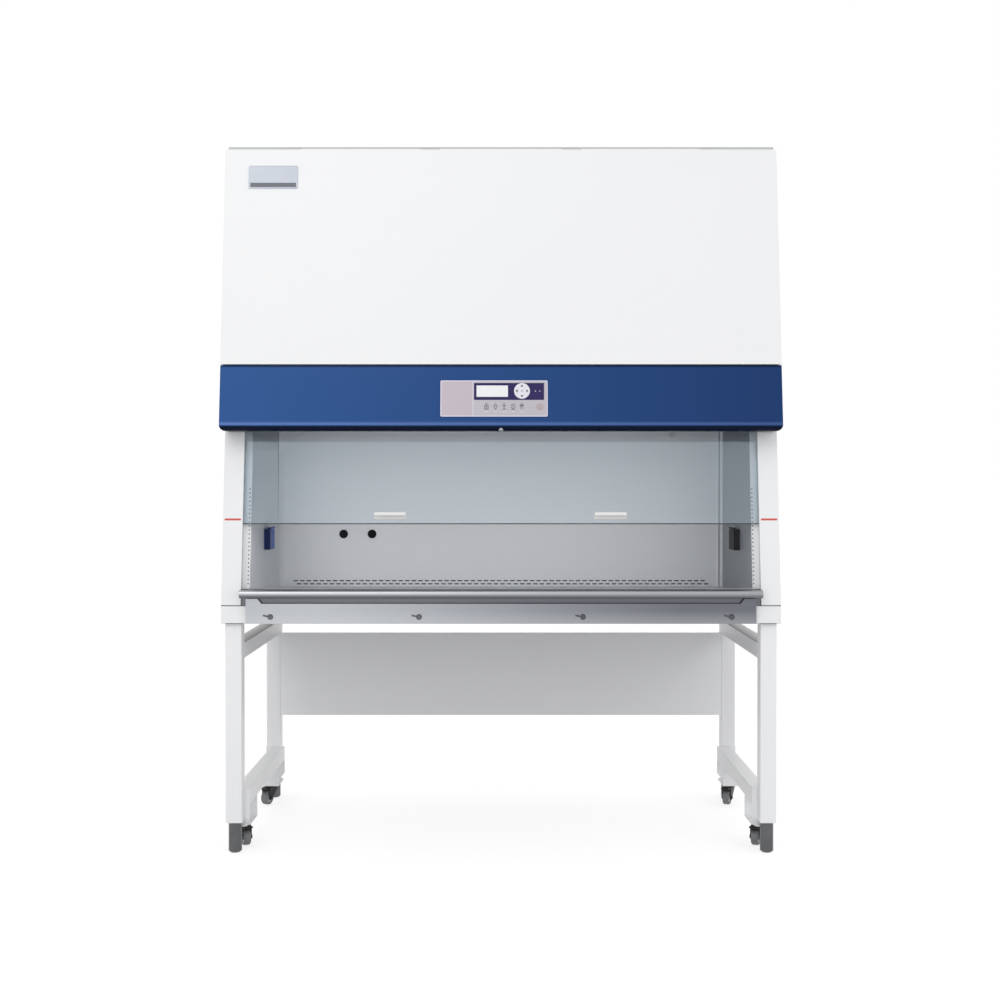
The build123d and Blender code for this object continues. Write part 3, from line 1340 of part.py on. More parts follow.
left_box, left_lid = outlet(-1, outlet_left)
right_box, right_lid = outlet(1, outlet_right)
save_group([left_box, right_box], "outlet_boxes")
left_lid.part.label = "outlet_lid_left"
export_step(left_lid.part, "parts/outlet_lid_left.step")
right_lid.part.label = "outlet_lid_right"
export_step(right_lid.part, "parts/outlet_lid_right.step")

# Service plugs in the back wall
with BuildPart() as service_plugs:
    with BuildSketch(Plane.XZ.offset(-back_wall_y)):
        with Locations([(x, plug_z) for x in plug_x]):
            Circle(plug_radius)
    extrude(amount=plug_reach)
    chamfer(service_plugs.edges().group_by(Axis.Y)[0], 1.5)
    with BuildSketch(Plane.XZ.offset(-back_wall_y)):
        with Locations([(x, plug_z) for x in plug_x]):
            Circle(plug_stem_radius)
    extrude(amount=-plug_stem_length)
service_plugs.part.label = "service_plugs"
export_step(service_plugs.part, "parts/service_plugs.step")

# Airflow sensor: a small hooded probe in the back wall
with BuildPart() as airflow_sensor:
    with BuildSketch(Plane.XZ.offset(-back_wall_y)):
        with Locations((sensor_x, sensor_z)):
            Circle(2 * sensor_radius)
    extrude(amount=sensor_radius)
    with BuildSketch(Plane.XZ.offset(-back_wall_y - liner_sheet)):
        with Locations((sensor_x, sensor_z)):
            Circle(sensor_radius)
    extrude(amount=sensor_reach)
    with BuildSketch(Plane.XZ.offset(-back_wall_y + sensor_reach - 2 * liner_sheet)):
        with Locations((sensor_x, sensor_z)):
            Circle(2 * sensor_radius)
    extrude(amount=2 * liner_sheet)
airflow_sensor.part.label = "airflow_sensor"
export_step(airflow_sensor.part, "parts/airflow_sensor.step")


# Lamps: the daylight tube under the hood on its batten, and the germicidal tube on the back wall
with BuildPart() as batten:
    slope_box((-width / 2 + 2 * fascia_wall, width / 2 - 2 * fascia_wall),
              (lamp_slope - batten_height / 2, lamp_slope + batten_height / 2), (-batten_depth, 0))
    for x_range in both_sides((lamp_length / 2, lamp_length / 2 + lamp_holder)):
        slope_box(x_range, (lamp_slope - batten_height / 2, lamp_slope + batten_height / 2),
                  (lamp_back - lamp_radius - 4, -batten_depth))
with BuildPart() as lamp_tube:
    cross_rod((-lamp_length / 2, lamp_length / 2), lamp_slope, lamp_back, lamp_radius)
uv_y = back_wall_y - uv_stand_off
with BuildPart() as uv_tube:
    with BuildSketch(Plane.YZ.offset(-uv_length / 2)):
        with Locations((uv_y, uv_z)):
            Circle(uv_radius)
    extrude(amount=uv_length)


def uv_holder(x):
    """A block that holds one end of the germicidal tube off the back wall."""
    with BuildPart() as holder:
        box((x[0], uv_y - 2 * uv_radius, uv_z - 2 * uv_radius), (x[1], back_wall_y, uv_z + 2 * uv_radius))
    return holder


save_group([batten, lamp_tube, uv_tube]
           + [uv_holder(x) for x in both_sides((uv_length / 2, uv_length / 2 + lamp_holder))], "lamps")

# Power unit inside the rear panel, with its mains inlet let through the panel
unit_front_y = rear_y - sheet - unit_depth
inlet_low = (mains_x - mains_size[0] / 2, rear_y - mains_depth, mains_z - mains_size[1] / 2)
inlet_high = (mains_x + mains_size[0] / 2, rear_y, mains_z + mains_size[1] / 2)
with BuildPart() as unit_case:
    box((unit_x[0], unit_front_y, unit_z[0]), (unit_x[1], rear_y - sheet, unit_z[1]))
    box((unit_x[0] + sheet, unit_front_y + sheet, unit_z[0] + sheet),
        (unit_x[1] - sheet, rear_y - 2 * sheet, unit_z[1] - sheet), mode=Mode.SUBTRACT)
    box((inlet_low[0] - seam, inlet_low[1], inlet_low[2] - seam),
        (inlet_high[0] + seam, rear_y - sheet, inlet_high[2] + seam), mode=Mode.SUBTRACT)
with BuildPart() as mains_inlet:
    box(inlet_low, inlet_high)
    box((inlet_low[0] + 3, inlet_low[1] + 3, inlet_low[2] + 3),
        (inlet_high[0] - 3, inlet_high[1], inlet_high[2] - 3), mode=Mode.SUBTRACT)
    for pin_x, pin_z in ((-7, -2), (0, 3), (7, -2)):
        box((mains_x + pin_x - 1, inlet_low[1], mains_z + pin_z - 2),
            (mains_x + pin_x + 1, inlet_high[1] - 2, mains_z + pin_z + 2))
save_group([unit_case, mains_inlet], "power_unit")
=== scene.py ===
from math import atan2, cos, pi, radians, sin, sqrt

import bpy
import numpy as np
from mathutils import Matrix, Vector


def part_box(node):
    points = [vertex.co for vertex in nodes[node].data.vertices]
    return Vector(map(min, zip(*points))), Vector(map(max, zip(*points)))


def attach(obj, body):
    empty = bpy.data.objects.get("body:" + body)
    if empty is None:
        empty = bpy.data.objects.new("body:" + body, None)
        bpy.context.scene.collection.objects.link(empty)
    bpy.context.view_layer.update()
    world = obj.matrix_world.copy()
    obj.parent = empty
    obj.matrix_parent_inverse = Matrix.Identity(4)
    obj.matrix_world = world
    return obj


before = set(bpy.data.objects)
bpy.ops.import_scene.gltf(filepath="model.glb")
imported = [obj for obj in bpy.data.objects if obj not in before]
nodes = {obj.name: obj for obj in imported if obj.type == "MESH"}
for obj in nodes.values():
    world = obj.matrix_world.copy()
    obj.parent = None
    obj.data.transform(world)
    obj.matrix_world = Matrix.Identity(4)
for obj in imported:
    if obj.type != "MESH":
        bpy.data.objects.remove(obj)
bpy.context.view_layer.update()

# Camera: a long lens at chest height, level but for a slight look down, square to the sash.
# The picture is square, so the focal length in pixels is lens / sensor * 1000.
camera = bpy.data.objects.new("camera", bpy.data.cameras.new("camera"))
bpy.context.scene.collection.objects.link(camera)
camera.data.lens = 47.8
camera.data.sensor_width = 36.0
camera.data.clip_end = 60.0
camera.location = (-0.003, -4.3975, 1.128)
camera.rotation_euler = (radians(90 - 0.7), 0, 0)
bpy.context.scene.camera = camera


# Finishes are written as arithmetic on shader sockets: Wire is one socket, Finish is one material.
# A Wire's operators each add a Math node; Finish.add makes any other node.
class Wire:
    def __init__(self, finish, socket):
        self.finish = finish
        self.socket = socket

    def math(self, operation, *values):
        inputs = dict(enumerate((self,) + values))
        return self.finish.add("ShaderNodeMath", {"operation": operation}, inputs)

    def __add__(self, other):
        return self.math("ADD", other)

    def __sub__(self, other):
        return self.math("SUBTRACT", other)

    def __mul__(self, other):
        return self.math("MULTIPLY", other)

    def __truediv__(self, other):
        return self.math("DIVIDE", other)

    def __gt__(self, other):
        return self.math("GREATER_THAN", other)

    def __lt__(self, other):
        return self.math("LESS_THAN", other)

    def __radd__(self, other):
        return self.math("ADD", other)

    def __rmul__(self, other):
        return self.math("MULTIPLY", other)

    def __rsub__(self, other):
        return self.finish.add("ShaderNodeMath", {"operation": "SUBTRACT"}, {0: other, 1: self})

    def __abs__(self):
        return self.math("ABSOLUTE")

    def root(self):
        return self.math("SQRT")

    def clamped(self):
        """The value held between 0 and 1."""
        return self.math("MAXIMUM", 0.0).math("MINIMUM", 1.0)

    def between(self, low, high):
        """1 where the value lies between low and high, and 0 elsewhere."""
        return (self > low) * (self < high)


class Finish:
    def __init__(self, name):
        self.material = bpy.data.materials.new(name)
        self.material.use_nodes = True
        self.tree = self.material.node_tree
        self.tree.nodes.clear()

    def add(self, kind, settings=None, inputs=None, output=0):
        """A node of that kind: its settings first, then the values or links of its sockets."""
        node = self.tree.nodes.new(kind)
        for name, value in (settings or {}).items():
            if name == "stops":
                while len(node.color_ramp.elements) < len(value):
                    node.color_ramp.elements.new(0.5)
                for element, (position, colour) in zip(node.color_ramp.elements, value):
                    element.position = position
                    element.color = (*colour, 1.0)
            else:
                setattr(node, name, value)
        for name, value in (inputs or {}).items():
            socket = node.inputs[name]
            if isinstance(value, Wire):
                self.tree.links.new(value.socket, socket)
            elif hasattr(value, "__len__") and socket.type == "RGBA" and len(value) == 3:
                socket.default_value = (*value, 1.0)
            else:
                socket.default_value = value
        return Wire(self, node.outputs[output])

    def point(self):
        """The point on the piece in the cabinet's own metres, as a vector."""
        return self.add("ShaderNodeTexCoord", output="Object")

    def place(self):
        """The point on the piece in the cabinet's own metres, as a vector and as x, y, z."""
        vector = self.point()
        split = self.add("ShaderNodeSeparateXYZ", inputs={0: vector})
        outputs = split.socket.node.outputs
        return vector, Wire(self, outputs[0]), Wire(self, outputs[1]), Wire(self, outputs[2])

    def noise(self, vector, scale, stretch=(1, 1, 1), detail=2.0):
        """Smooth noise from 0 to 1, about 1 / scale metres from lump to lump, squeezed by stretch."""
        moved = self.add("ShaderNodeMapping", inputs={"Vector": vector, "Scale": stretch})
        return self.add("ShaderNodeTexNoise", inputs={"Vector": moved, "Scale": scale, "Detail": detail})

    def mix(self, factor, first, second):
        """The first colour where factor is 0, the second where it is 1."""
        return self.add("ShaderNodeMix", {"data_type": "RGBA"}, {0: factor, 6: first, 7: second}, output=2)

    def bump(self, height, distance, strength=1.0, rounding=0.0):
        """A normal bent by a height from 0 to 1, over edges softened by a small radius."""
        inputs = {"Height": height, "Distance": distance, "Strength": strength}
        if rounding:
            inputs["Normal"] = self.add("ShaderNodeBevel", {"samples": 4}, {"Radius": rounding})
        return self.add("ShaderNodeBump", inputs=inputs)

    def finish(self, **surface):
        """Closes the material with one Principled surface; underscores stand for spaces."""
        inputs = {name.replace("_", " "): value for name, value in surface.items()}
        return self.close(self.add("ShaderNodeBsdfPrincipled", inputs=inputs))

    def close(self, shader):
        """Makes that shader the material's surface."""
        self.add_output("Surface", shader)
        return self.material

    def add_output(self, name, shader):
        output = self.tree.nodes.new("ShaderNodeOutputMaterial")
        self.tree.links.new(shader.socket, output.inputs[name])


# Room: a white world that lights the cabinet evenly, a little stronger from the right, and three
# large soft lamps: above in front, low in front, and at the right. The floor is white and keeps a
# faint shadow.
world = bpy.data.worlds.new("room")
world.use_nodes = True
room = world.node_tree
room.nodes.clear()
path = room.nodes.new("ShaderNodeLightPath")
seen = room.nodes.new("ShaderNodeMath")
seen.operation = "MAXIMUM"
room.links.new(path.outputs["Is Camera Ray"], seen.inputs[0])
mirrored = room.nodes.new("ShaderNodeMath")
mirrored.operation = "MAXIMUM"
room.links.new(path.outputs["Is Glossy Ray"], mirrored.inputs[0])
room.links.new(path.outputs["Is Transmission Ray"], mirrored.inputs[1])
room.links.new(mirrored.outputs[0], seen.inputs[1])
direction = room.nodes.new("ShaderNodeTexCoord")
sideways = room.nodes.new("ShaderNodeSeparateXYZ")
room.links.new(direction.outputs["Generated"], sideways.inputs[0])
slope_of_light = room.nodes.new("ShaderNodeMapRange")
for name, value in (("From Min", -1.0), ("From Max", 1.0), ("To Min", 0.74), ("To Max", 0.98)):
    slope_of_light.inputs[name].default_value = value
room.links.new(sideways.outputs["X"], slope_of_light.inputs["Value"])
strength = room.nodes.new("ShaderNodeMix")
strength.data_type = "FLOAT"
room.links.new(seen.outputs[0], strength.inputs[0])
room.links.new(slope_of_light.outputs[0], strength.inputs[2])
strength.inputs[3].default_value = 1.0
sky = room.nodes.new("ShaderNodeBackground")
sky.inputs["Color"].default_value = (1.0, 1.0, 1.0, 1.0)
room.links.new(strength.outputs[0], sky.inputs["Strength"])
room.links.new(sky.outputs[0], room.nodes.new("ShaderNodeOutputWorld").inputs["Surface"])
bpy.context.scene.world = world
bpy.context.scene.view_settings.view_transform = "Standard"

for name, place, size, watts in (("front_lamp", (-1.6, -4.4, 4.5), 2.6, 43.0),
                                 ("low_lamp", (-0.9, -4.4, 0.9), 2.0, 7.0),
                                 ("side_lamp", (3.4, -3.0, 2.0), 1.6, 10.0)):
    lamp = bpy.data.lights.new(name, "AREA")
    lamp.shape = "SQUARE"
    lamp.size = size
    lamp.energy = watts
    holder = bpy.data.objects.new(name, lamp)
    bpy.context.scene.collection.objects.link(holder)
    holder.location = place
    aim = np.array((0.0, 0.0, 1.2)) - np.array(place)
    holder.rotation_euler = (atan2(sqrt(aim[0] ** 2 + aim[1] ** 2), -aim[2]), 0, atan2(-aim[0], aim[1]))

floor_mesh = bpy.data.meshes.new("floor")
floor_mesh.from_pydata([(-30, -30, 0), (30, -30, 0), (30, 30, 0), (-30, 30, 0)], [], [(0, 1, 2, 3)])
floor = bpy.data.objects.new("floor", floor_mesh)
bpy.context.scene.collection.objects.link(floor)
ground = Finish("floor_white")
light_path = ground.add("ShaderNodeLightPath")
outputs = light_path.socket.node.outputs
looked_at = Wire(ground, outputs["Is Camera Ray"]).math("MAXIMUM", Wire(ground, outputs["Is Glossy Ray"]))
looked_at = looked_at.math("MAXIMUM", Wire(ground, outputs["Is Transmission Ray"]))
matt = ground.add("ShaderNodeBsdfDiffuse", inputs={"Color": (0.74, 0.74, 0.75)})
soft = ground.add("ShaderNodeBsdfDiffuse", inputs={"Color": (0.34, 0.34, 0.34)})
glow = ground.add("ShaderNodeEmission", inputs={"Color": (1.0, 1.0, 1.0), "Strength": 0.76})
bright = ground.add("ShaderNodeAddShader", inputs={0: soft, 1: glow})
surface = ground.add("ShaderNodeMixShader", inputs={0: looked_at, 1: matt, 2: bright})
floor_mesh.materials.append(ground.close(surface))


# Stand, base frame, side panels, rear panel, brackets and the hood's cover: folded sheet and
# square tube, sprayed with off-white powder that leaves a fine peel.
def paint(material, *names):
    """Gives the named CAD pieces that material."""
    for name in names:
        nodes[name].data.materials.clear()
        nodes[name].data.materials.append(material)


def powder_coat(name, colour, deeper, roughness=0.36, joints=()):
    """Lumps under a millimetre across bend the surface; a slow noise drifts the tone and the sheen.

    Joints are height ranges where two pieces meet and a dark gap shows.
    """
    coat = Finish(name)
    vector, x, y, z = coat.place()
    peel = coat.noise(vector, 900.0, detail=1.0)
    drift = coat.noise(vector, 1.7, detail=3.0)
    tone = coat.mix(drift, deeper, colour)
    for low, high in joints:
        tone = coat.mix(z.between(low, high), tone, (0.10, 0.10, 0.105))
    return coat.finish(Base_Color=tone, Roughness=drift * 0.1 + roughness,
                       Normal=coat.bump(peel, 0.00008, 0.3, 0.0011))


white, deeper = (0.895, 0.90, 0.905), (0.865, 0.871, 0.88)
paint(powder_coat("white_powder", white, deeper), "hood_cover", "caster_brackets", "rear_cross_panel")
panel_foot, frame_foot, stand_head = (0.7565, 0.7595), (0.7035, 0.7048), (0.7015, 0.7045)
paint(powder_coat("body_powder", white, deeper, joints=(panel_foot, frame_foot)),
      "base_frame", "side_panel_left", "side_panel_right")
paint(powder_coat("stand_powder", white, deeper, joints=(stand_head,)),
      "stand_frame_left", "stand_frame_right")

# Rear panel: the same white sheet, held by rows of socket screws along all four edges.
# Each screw is a dark socket in a bright head, drawn by its distance from the nearest row point.
# The inner face is painted near black, a painted shade inside the duct, so the liner's slots show dark.
fixing = Finish("rear_panel_white")
vector, x, y, z = fixing.place()
peel = fixing.noise(vector, 900.0, detail=1.0)
drift = fixing.noise(vector, 1.7, detail=3.0)
panel_middle, side_row, end_row = 1.4595, 0.772, 0.684
side_pitch, end_pitch = 0.228, 0.2573
edge_x = abs(abs(x) - side_row)
edge_z = abs(abs(z - panel_middle) - end_row)
along_z = ((z - panel_middle) / side_pitch + 0.5).math("FRACT") * side_pitch - side_pitch / 2
along_x = (x / end_pitch + 0.5).math("FRACT") * end_pitch - end_pitch / 2
from_side = (edge_x * edge_x + along_z * along_z).root()
from_end = (edge_z * edge_z + along_x * along_x).root()
apart = from_side.math("MINIMUM", from_end)
head_radius, socket_radius, inner_face = 0.0055, 0.0023, 0.4163
head = apart < head_radius
socket = apart < socket_radius
tone = fixing.mix(drift, deeper, white)
# Painted shade: the inner face behind the liner's slots drawn near black.
tone = fixing.mix(y < inner_face, tone, (0.05, 0.05, 0.052))
tone = fixing.mix(head, tone, (0.55, 0.56, 0.58))
tone = fixing.mix(socket, tone, (0.03, 0.03, 0.035))
height = peel * 0.05 + head * 0.6 - socket * 0.6
paint(fixing.finish(Base_Color=tone, Roughness=0.4 - head * 0.12, Metallic=head * 0.9,
                    Normal=fixing.bump(height, 0.0006, 0.5)), "rear_panel")

# Roof: a shallow cover of light grey powder-coated sheet with exhaust louvres, and the hood's
# hinge along its front edge.
paint(powder_coat("roof_grey", (0.56, 0.57, 0.585), (0.52, 0.53, 0.545), 0.42), "roof_panel")
paint(powder_coat("plenum_grey", (0.78, 0.79, 0.80), (0.74, 0.75, 0.76), 0.45), "plenum")


# Control fascia: one vacuum-formed moulding of deep blue plastic with a high gloss, rounded along its lower edge.
# Its tone is painted light:
# a painted reflection lighter at the left, a painted highlight line along the rounded edge, and painted shade on the
# underside.
moulding = Finish("blue_moulding")
vector, x, y, z = moulding.place()
flow = moulding.noise(vector, 3.0, (0.3, 1.0, 1.0), 2.0)
ripple = moulding.noise(vector, 38.0, (0.25, 1.0, 1.0), 1.0)
# Painted reflection: lighter at the left, darker towards the right.
tone = moulding.mix((x / 1.6 + 0.5).clamped(), (0.034, 0.104, 0.31), (0.012, 0.042, 0.15))
tone = moulding.mix(flow * 0.2, tone, (0.020, 0.065, 0.20))
# Painted highlight: a light line along the rounded lower edge.
edge_highlight = ((z - 1.3035) / 0.004).clamped() * ((1.3165 - z) / 0.008).clamped()
tone = moulding.mix(edge_highlight * (0.55 - x * 0.28), tone, (0.15, 0.25, 0.56))
# Painted shade on the underside, and a dark line along the top edge where the cover meets it.
underside_shade = ((1.3045 - z) / 0.004).clamped()
top_edge = ((z - 1.4795) / 0.004).clamped()
tone = moulding.mix(underside_shade.math("MAXIMUM", top_edge * 0.8), tone, (0.001, 0.005, 0.022))
paint(moulding.finish(Base_Color=tone, Roughness=ripple * 0.05 + 0.16, Specular_IOR_Level=0.08,
                      Normal=moulding.bump(ripple, 0.0012, 0.10)), "control_fascia")


# Work chamber, tray, grille, drain pan, diffuser, armrest and apron: stainless sheet with a fine
# satin brushing, folded and welded; the liner's bright rolled corners are a painted highlight.
def brushed(name, colour, along, roughness=0.34, metallic=1.0, tint=0.06, rounding=0.0):
    """Two noises squeezed along the brushing direction: long fine scratches and slow bands."""
    steel = Finish(name)
    vector = steel.point()
    fine = steel.noise(vector, 1400.0, along, 2.0)
    band = steel.noise(vector, 60.0, along, 2.0)
    cloud = steel.noise(vector, 1.3, detail=2.0)
    dark = tuple(part * (1 - tint) for part in colour)
    tone = steel.mix(fine * 0.5 + band * 0.5, dark, colour)
    normal = steel.bump(fine, 0.00002, 0.35, rounding)
    return steel.finish(Base_Color=tone, Metallic=metallic, Roughness=fine * 0.1 + cloud * 0.08 + roughness,
                        Normal=normal)


# The liner carries painted light: the right side wall is painted dark against the bright back wall, the left wall is
# made matt, and painted shade from the hood darkens the upper side walls. The rolled rear corners carry a painted
# highlight, nearly white, and dark lines are painted at the left wall's cove start and in the right rolled corner.
# The front flanges are nearly white.
# Air holes run down each flange.
across = (0.02, 1.0, 1.0)
wall_x, cove_start, flange_x = 0.7685, 0.2103, 0.7716
hole_pitch, hole_radius = 0.0126, 0.0021
liner = Finish("chamber_steel")
vector, x, y, z = liner.place()
fine = liner.noise(vector, 1400.0, across, 2.0)
band = liner.noise(vector, 60.0, across, 2.0)
cloud = liner.noise(vector, 1.1, detail=2.0)
on_left = ((0.0 - x - wall_x) / 0.001).clamped()
on_right = ((x - wall_x) / 0.001).clamped()
inside_cove = y < cove_start
flange = (abs(x) > flange_x) * (y < 0.12)
tone = liner.mix(fine * 0.5 + band * 0.5, (0.93, 0.938, 0.955), (0.97, 0.975, 0.99))
tone = liner.mix(cloud * 0.2, tone, (0.84, 0.85, 0.88))
# Painted light: the left side wall set a little apart, the right side wall painted dark.
tone = liner.mix(on_left * 0.5, tone, (0.86, 0.88, 0.91))
tone = liner.mix(on_right * 0.85, tone, (0.30, 0.32, 0.34))
# Painted shade of the hood on the upper side walls.
shade = ((z - 1.235) / 0.04).clamped() * (on_left + on_right).clamped() * inside_cove
tone = liner.mix(shade * 0.6, tone, (0.16, 0.18, 0.20))
# Dark lines painted at the left wall's cove start and in the right rolled corner.
dark_cove_line = on_left * y.between(0.192, cove_start) * ((z - 0.95) / 0.3).clamped()
# Painted highlight on the rolled rear corners, nearly white.
roll_highlight = (abs(x) > 0.7515) * (y > cove_start)
tone = liner.mix(roll_highlight, tone, (0.98, 0.985, 0.99))
dark_cove_line = dark_cove_line.math("MAXIMUM", x.between(0.7580, 0.7625) * (y > cove_start))
tone = liner.mix(dark_cove_line * 0.8, tone, (0.16, 0.17, 0.18))
hole_z = ((z - 0.8156) / hole_pitch).math("FRACT") * hole_pitch - hole_pitch / 2
hole_x = abs(x) - 0.7752
hole = (hole_z * hole_z + hole_x * hole_x).root() < hole_radius
hole = hole * flange * z.between(0.812, 1.118)
tone = liner.mix(flange, tone, (0.90, 0.905, 0.91))
tone = liner.mix(hole, tone, (0.05, 0.05, 0.055))
matt_part = flange.math("MAXIMUM", roll_highlight).math("MAXIMUM", on_left)
paint(liner.finish(Base_Color=tone, Metallic=0.24 - 0.24 * matt_part,
                   Roughness=fine * 0.1 + cloud * 0.08 + 0.36,
                   Normal=liner.bump(fine, 0.00002, 0.35)), "work_chamber")
paint(brushed("tray_steel", (0.74, 0.75, 0.77), across, 0.32), "work_tray", "drain_pan")
paint(brushed("diffuser_steel", (0.74, 0.75, 0.76), across, 0.4), "diffuser")

# Front grille: slotted stainless sheet that drops from its front land to the tray.
paint(brushed("grille_steel", (0.70, 0.71, 0.73), across, 0.34), "front_grille")

# Armrest: a roll of brushed stainless sheet with a painted highlight on its crown and painted shade beneath, on a
# web that stands in the shade behind the apron's notch, painted dark. Its tone darkens to the right, painted light.
# A black line along the roll's rear, not metallic, is painted shade of the gap behind it.
armrest = Finish("armrest_steel")
vector, x, y, z = armrest.place()
fine = armrest.noise(vector, 1400.0, across, 2.0)
band = armrest.noise(vector, 30.0, across, 2.0)
# Painted highlight on the crown, painted shade beneath and on the web, painted shade of the gap along the rear.
crown_highlight = ((z - 0.789) / 0.010).clamped()
gap_shade = (y > -0.396) * (z > 0.8066)
tone = armrest.mix(crown_highlight, (0.11, 0.117, 0.13), (0.48, 0.495, 0.52))
tone = armrest.mix((z < 0.7838) * 1.0, tone, (0.085, 0.09, 0.10))
# Painted light: darker towards the right.
tone = armrest.mix((x / 1.6 + 0.5).clamped() * 0.35, tone, (0.16, 0.17, 0.19))
tone = armrest.mix(band * 0.2, tone, (0.42, 0.43, 0.45))
tone = armrest.mix(gap_shade, tone, (0.010, 0.010, 0.012))
paint(armrest.finish(Base_Color=tone, Metallic=1.0 - gap_shade, Roughness=fine * 0.1 + 0.26 + gap_shade * 0.4,
                     Normal=armrest.bump(fine, 0.00002, 0.35, 0.0008)), "armrest")

# Apron: brushed stainless whose tone is painted light: lighter at the left, darker to the right, and lighter towards
# its foot.
apron = Finish("apron_steel")
vector, x, y, z = apron.place()
fine = apron.noise(vector, 1400.0, across, 2.0)
band = apron.noise(vector, 45.0, across, 2.0)
tone = apron.mix(((x + 0.55) / 1.1).clamped(), (0.40, 0.415, 0.44), (0.14, 0.15, 0.17))
tone = apron.mix(((0.745 - z) / 0.041).clamped() * 0.38, tone, (0.52, 0.53, 0.55))
tone = apron.mix(band * 0.12, tone, (0.42, 0.43, 0.45))
paint(apron.finish(Base_Color=tone, Metallic=1.0, Roughness=fine * 0.1 + 0.3,
                   Normal=apron.bump(fine, 0.00002, 0.35, 0.001)), "apron")

# Captive quarter-turn screws in the apron: turned steel, darkened, with lighter worn patches.
screws = Finish("screw_steel")
vector = screws.point()
turned_rings = screws.noise(vector, 900.0, detail=2.0)
worn = screws.noise(vector, 160.0, detail=2.0)
paint(screws.finish(Base_Color=screws.mix(worn, (0.035, 0.035, 0.04), (0.16, 0.16, 0.17)), Metallic=1.0,
                    Roughness=turned_rings * 0.12 + 0.14, Normal=screws.bump(turned_rings, 0.00004, 0.3, 0.0006)),
      "apron_screws")

# Levelling feet: turned and polished, then blackened chrome plate that mirrors the room.
chrome = Finish("black_chrome")
vector = chrome.point()
lathe = chrome.noise(vector, 500.0, (0.1, 0.1, 1.0), 2.0)
smear = chrome.noise(vector, 22.0, detail=3.0)
paint(chrome.finish(Base_Color=chrome.mix(smear, (0.085, 0.087, 0.092), (0.15, 0.153, 0.16)), Metallic=1.0,
                    Roughness=smear * 0.08 + 0.07, Normal=chrome.bump(lathe, 0.00002, 0.2, 0.0008)),
      "foot_fl", "foot_fr", "foot_rl", "foot_rr")


# Casters: pressed black steel plates and forks, moulded pedals, and grey wheels whose softer
# tread is bonded to a paler hub.
def satin_black(name, colour, roughness):
    """A near-black tone that drifts a little, over a fine grain."""
    black = Finish(name)
    vector = black.point()
    grain = black.noise(vector, 1200.0, detail=1.0)
    drift = black.noise(vector, 40.0, detail=3.0)
    lighter = tuple(part * 1.7 for part in colour)
    return black.finish(Base_Color=black.mix(drift, colour, lighter), Roughness=drift * 0.15 + roughness,
                        Specular_IOR_Level=0.18,
                        Normal=black.bump(grain, 0.00005, 0.4, 0.0007))


paint(satin_black("black_press_steel", (0.018, 0.018, 0.02), 0.32), "caster_plates", "power_unit", "sash_drive",
      *[f"caster_fork_{corner}" for corner in ("fl", "fr", "rl", "rr")])
paint(satin_black("pedal_plastic", (0.02, 0.02, 0.022), 0.45),
      *[f"caster_brake_{corner}" for corner in ("fl", "fr", "rl", "rr")])

for corner in ("fl", "fr", "rl", "rr"):
    low, high = (np.array(point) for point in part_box(f"caster_wheel_{corner}"))
    centre = (low + high) / 2
    wheel = Finish(f"wheel_{corner}")
    vector, x, y, z = wheel.place()
    flat_x = x - centre[0]
    flat_y = y - centre[1]
    turn = radians(25 if corner == "fl" else -25)
    ahead = flat_x * sin(turn) - flat_y * cos(turn)
    up = z - 0.027
    radius = (ahead * ahead + up * up).root()
    tread = radius > 0.0182
    groove = radius.between(0.0178, 0.0186)
    scuff = wheel.noise(vector, 130.0, detail=4.0)
    tone = wheel.mix(tread, (0.42, 0.43, 0.45), (0.20, 0.205, 0.215))
    tone = wheel.mix(scuff * 0.35, tone, (0.12, 0.12, 0.125))
    tone = wheel.mix(groove, tone, (0.05, 0.05, 0.055))
    paint(wheel.finish(Base_Color=tone, Roughness=scuff * 0.2 + 0.42,
                       Normal=wheel.bump(scuff * 0.3 + groove * -1.0, 0.0002, 0.5)), f"caster_wheel_{corner}")


# Sash: a frameless pane of toughened glass, clear with a faint cool tint, whose polished edges
# show dark. It lets light through and mirrors at a slant.
pane = Finish("sash_glass")
vector, x, y, z = pane.place()
low, high = (np.array(point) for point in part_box("sash_glass"))
smear = pane.noise(vector, 5.0, detail=4.0)
edge = (abs(x) > 0.8035).math("MAXIMUM", z < float(low[2]) + 0.0036)
edge = edge.math("MAXIMUM", z > float(high[2]) - 0.0016)
tint = pane.mix(smear * 0.2, (0.985, 0.997, 1.0), (0.975, 0.99, 1.0))
clear = pane.add("ShaderNodeBsdfTransparent", inputs={"Color": tint})
mirror = pane.add("ShaderNodeBsdfGlossy", inputs={"Color": (0.76, 0.89, 1.0), "Roughness": 0.02})
gloss = pane.add("ShaderNodeFresnel", inputs={"IOR": 1.45}) * 1.6 + 0.02
body = pane.add("ShaderNodeMixShader", inputs={0: gloss, 1: clear, 2: mirror})
rim = pane.add("ShaderNodeBsdfPrincipled",
               inputs={"Base Color": (0.03, 0.05, 0.05), "Roughness": 0.15, "Alpha": 0.75})
paint(pane.close(pane.add("ShaderNodeMixShader", inputs={0: edge, 1: body, 2: rim})), "sash_glass")

# Sash hardware: an extruded aluminium top rail and felted guides, white moulded pulls on the
# glass, belts of moulded rubber, and turned pulleys and shaft.
upright, round_the_hub = (1.0, 1.0, 0.02), (1.0, 0.02, 1.0)
paint(brushed("extrusion", (0.88, 0.885, 0.89), upright, 0.36, 0.2, rounding=0.0006), "sash_guides")
paint(brushed("rail_extrusion", (0.66, 0.67, 0.69), across, 0.36, rounding=0.0006), "sash_top_rail")
paint(brushed("pulley_aluminium", (0.62, 0.63, 0.65), across, 0.3), "belt_idlers", "drive_shaft")
paint(brushed("fan_aluminium", (0.66, 0.67, 0.68), round_the_hub, 0.36), "fan_mount", "fan_impeller")

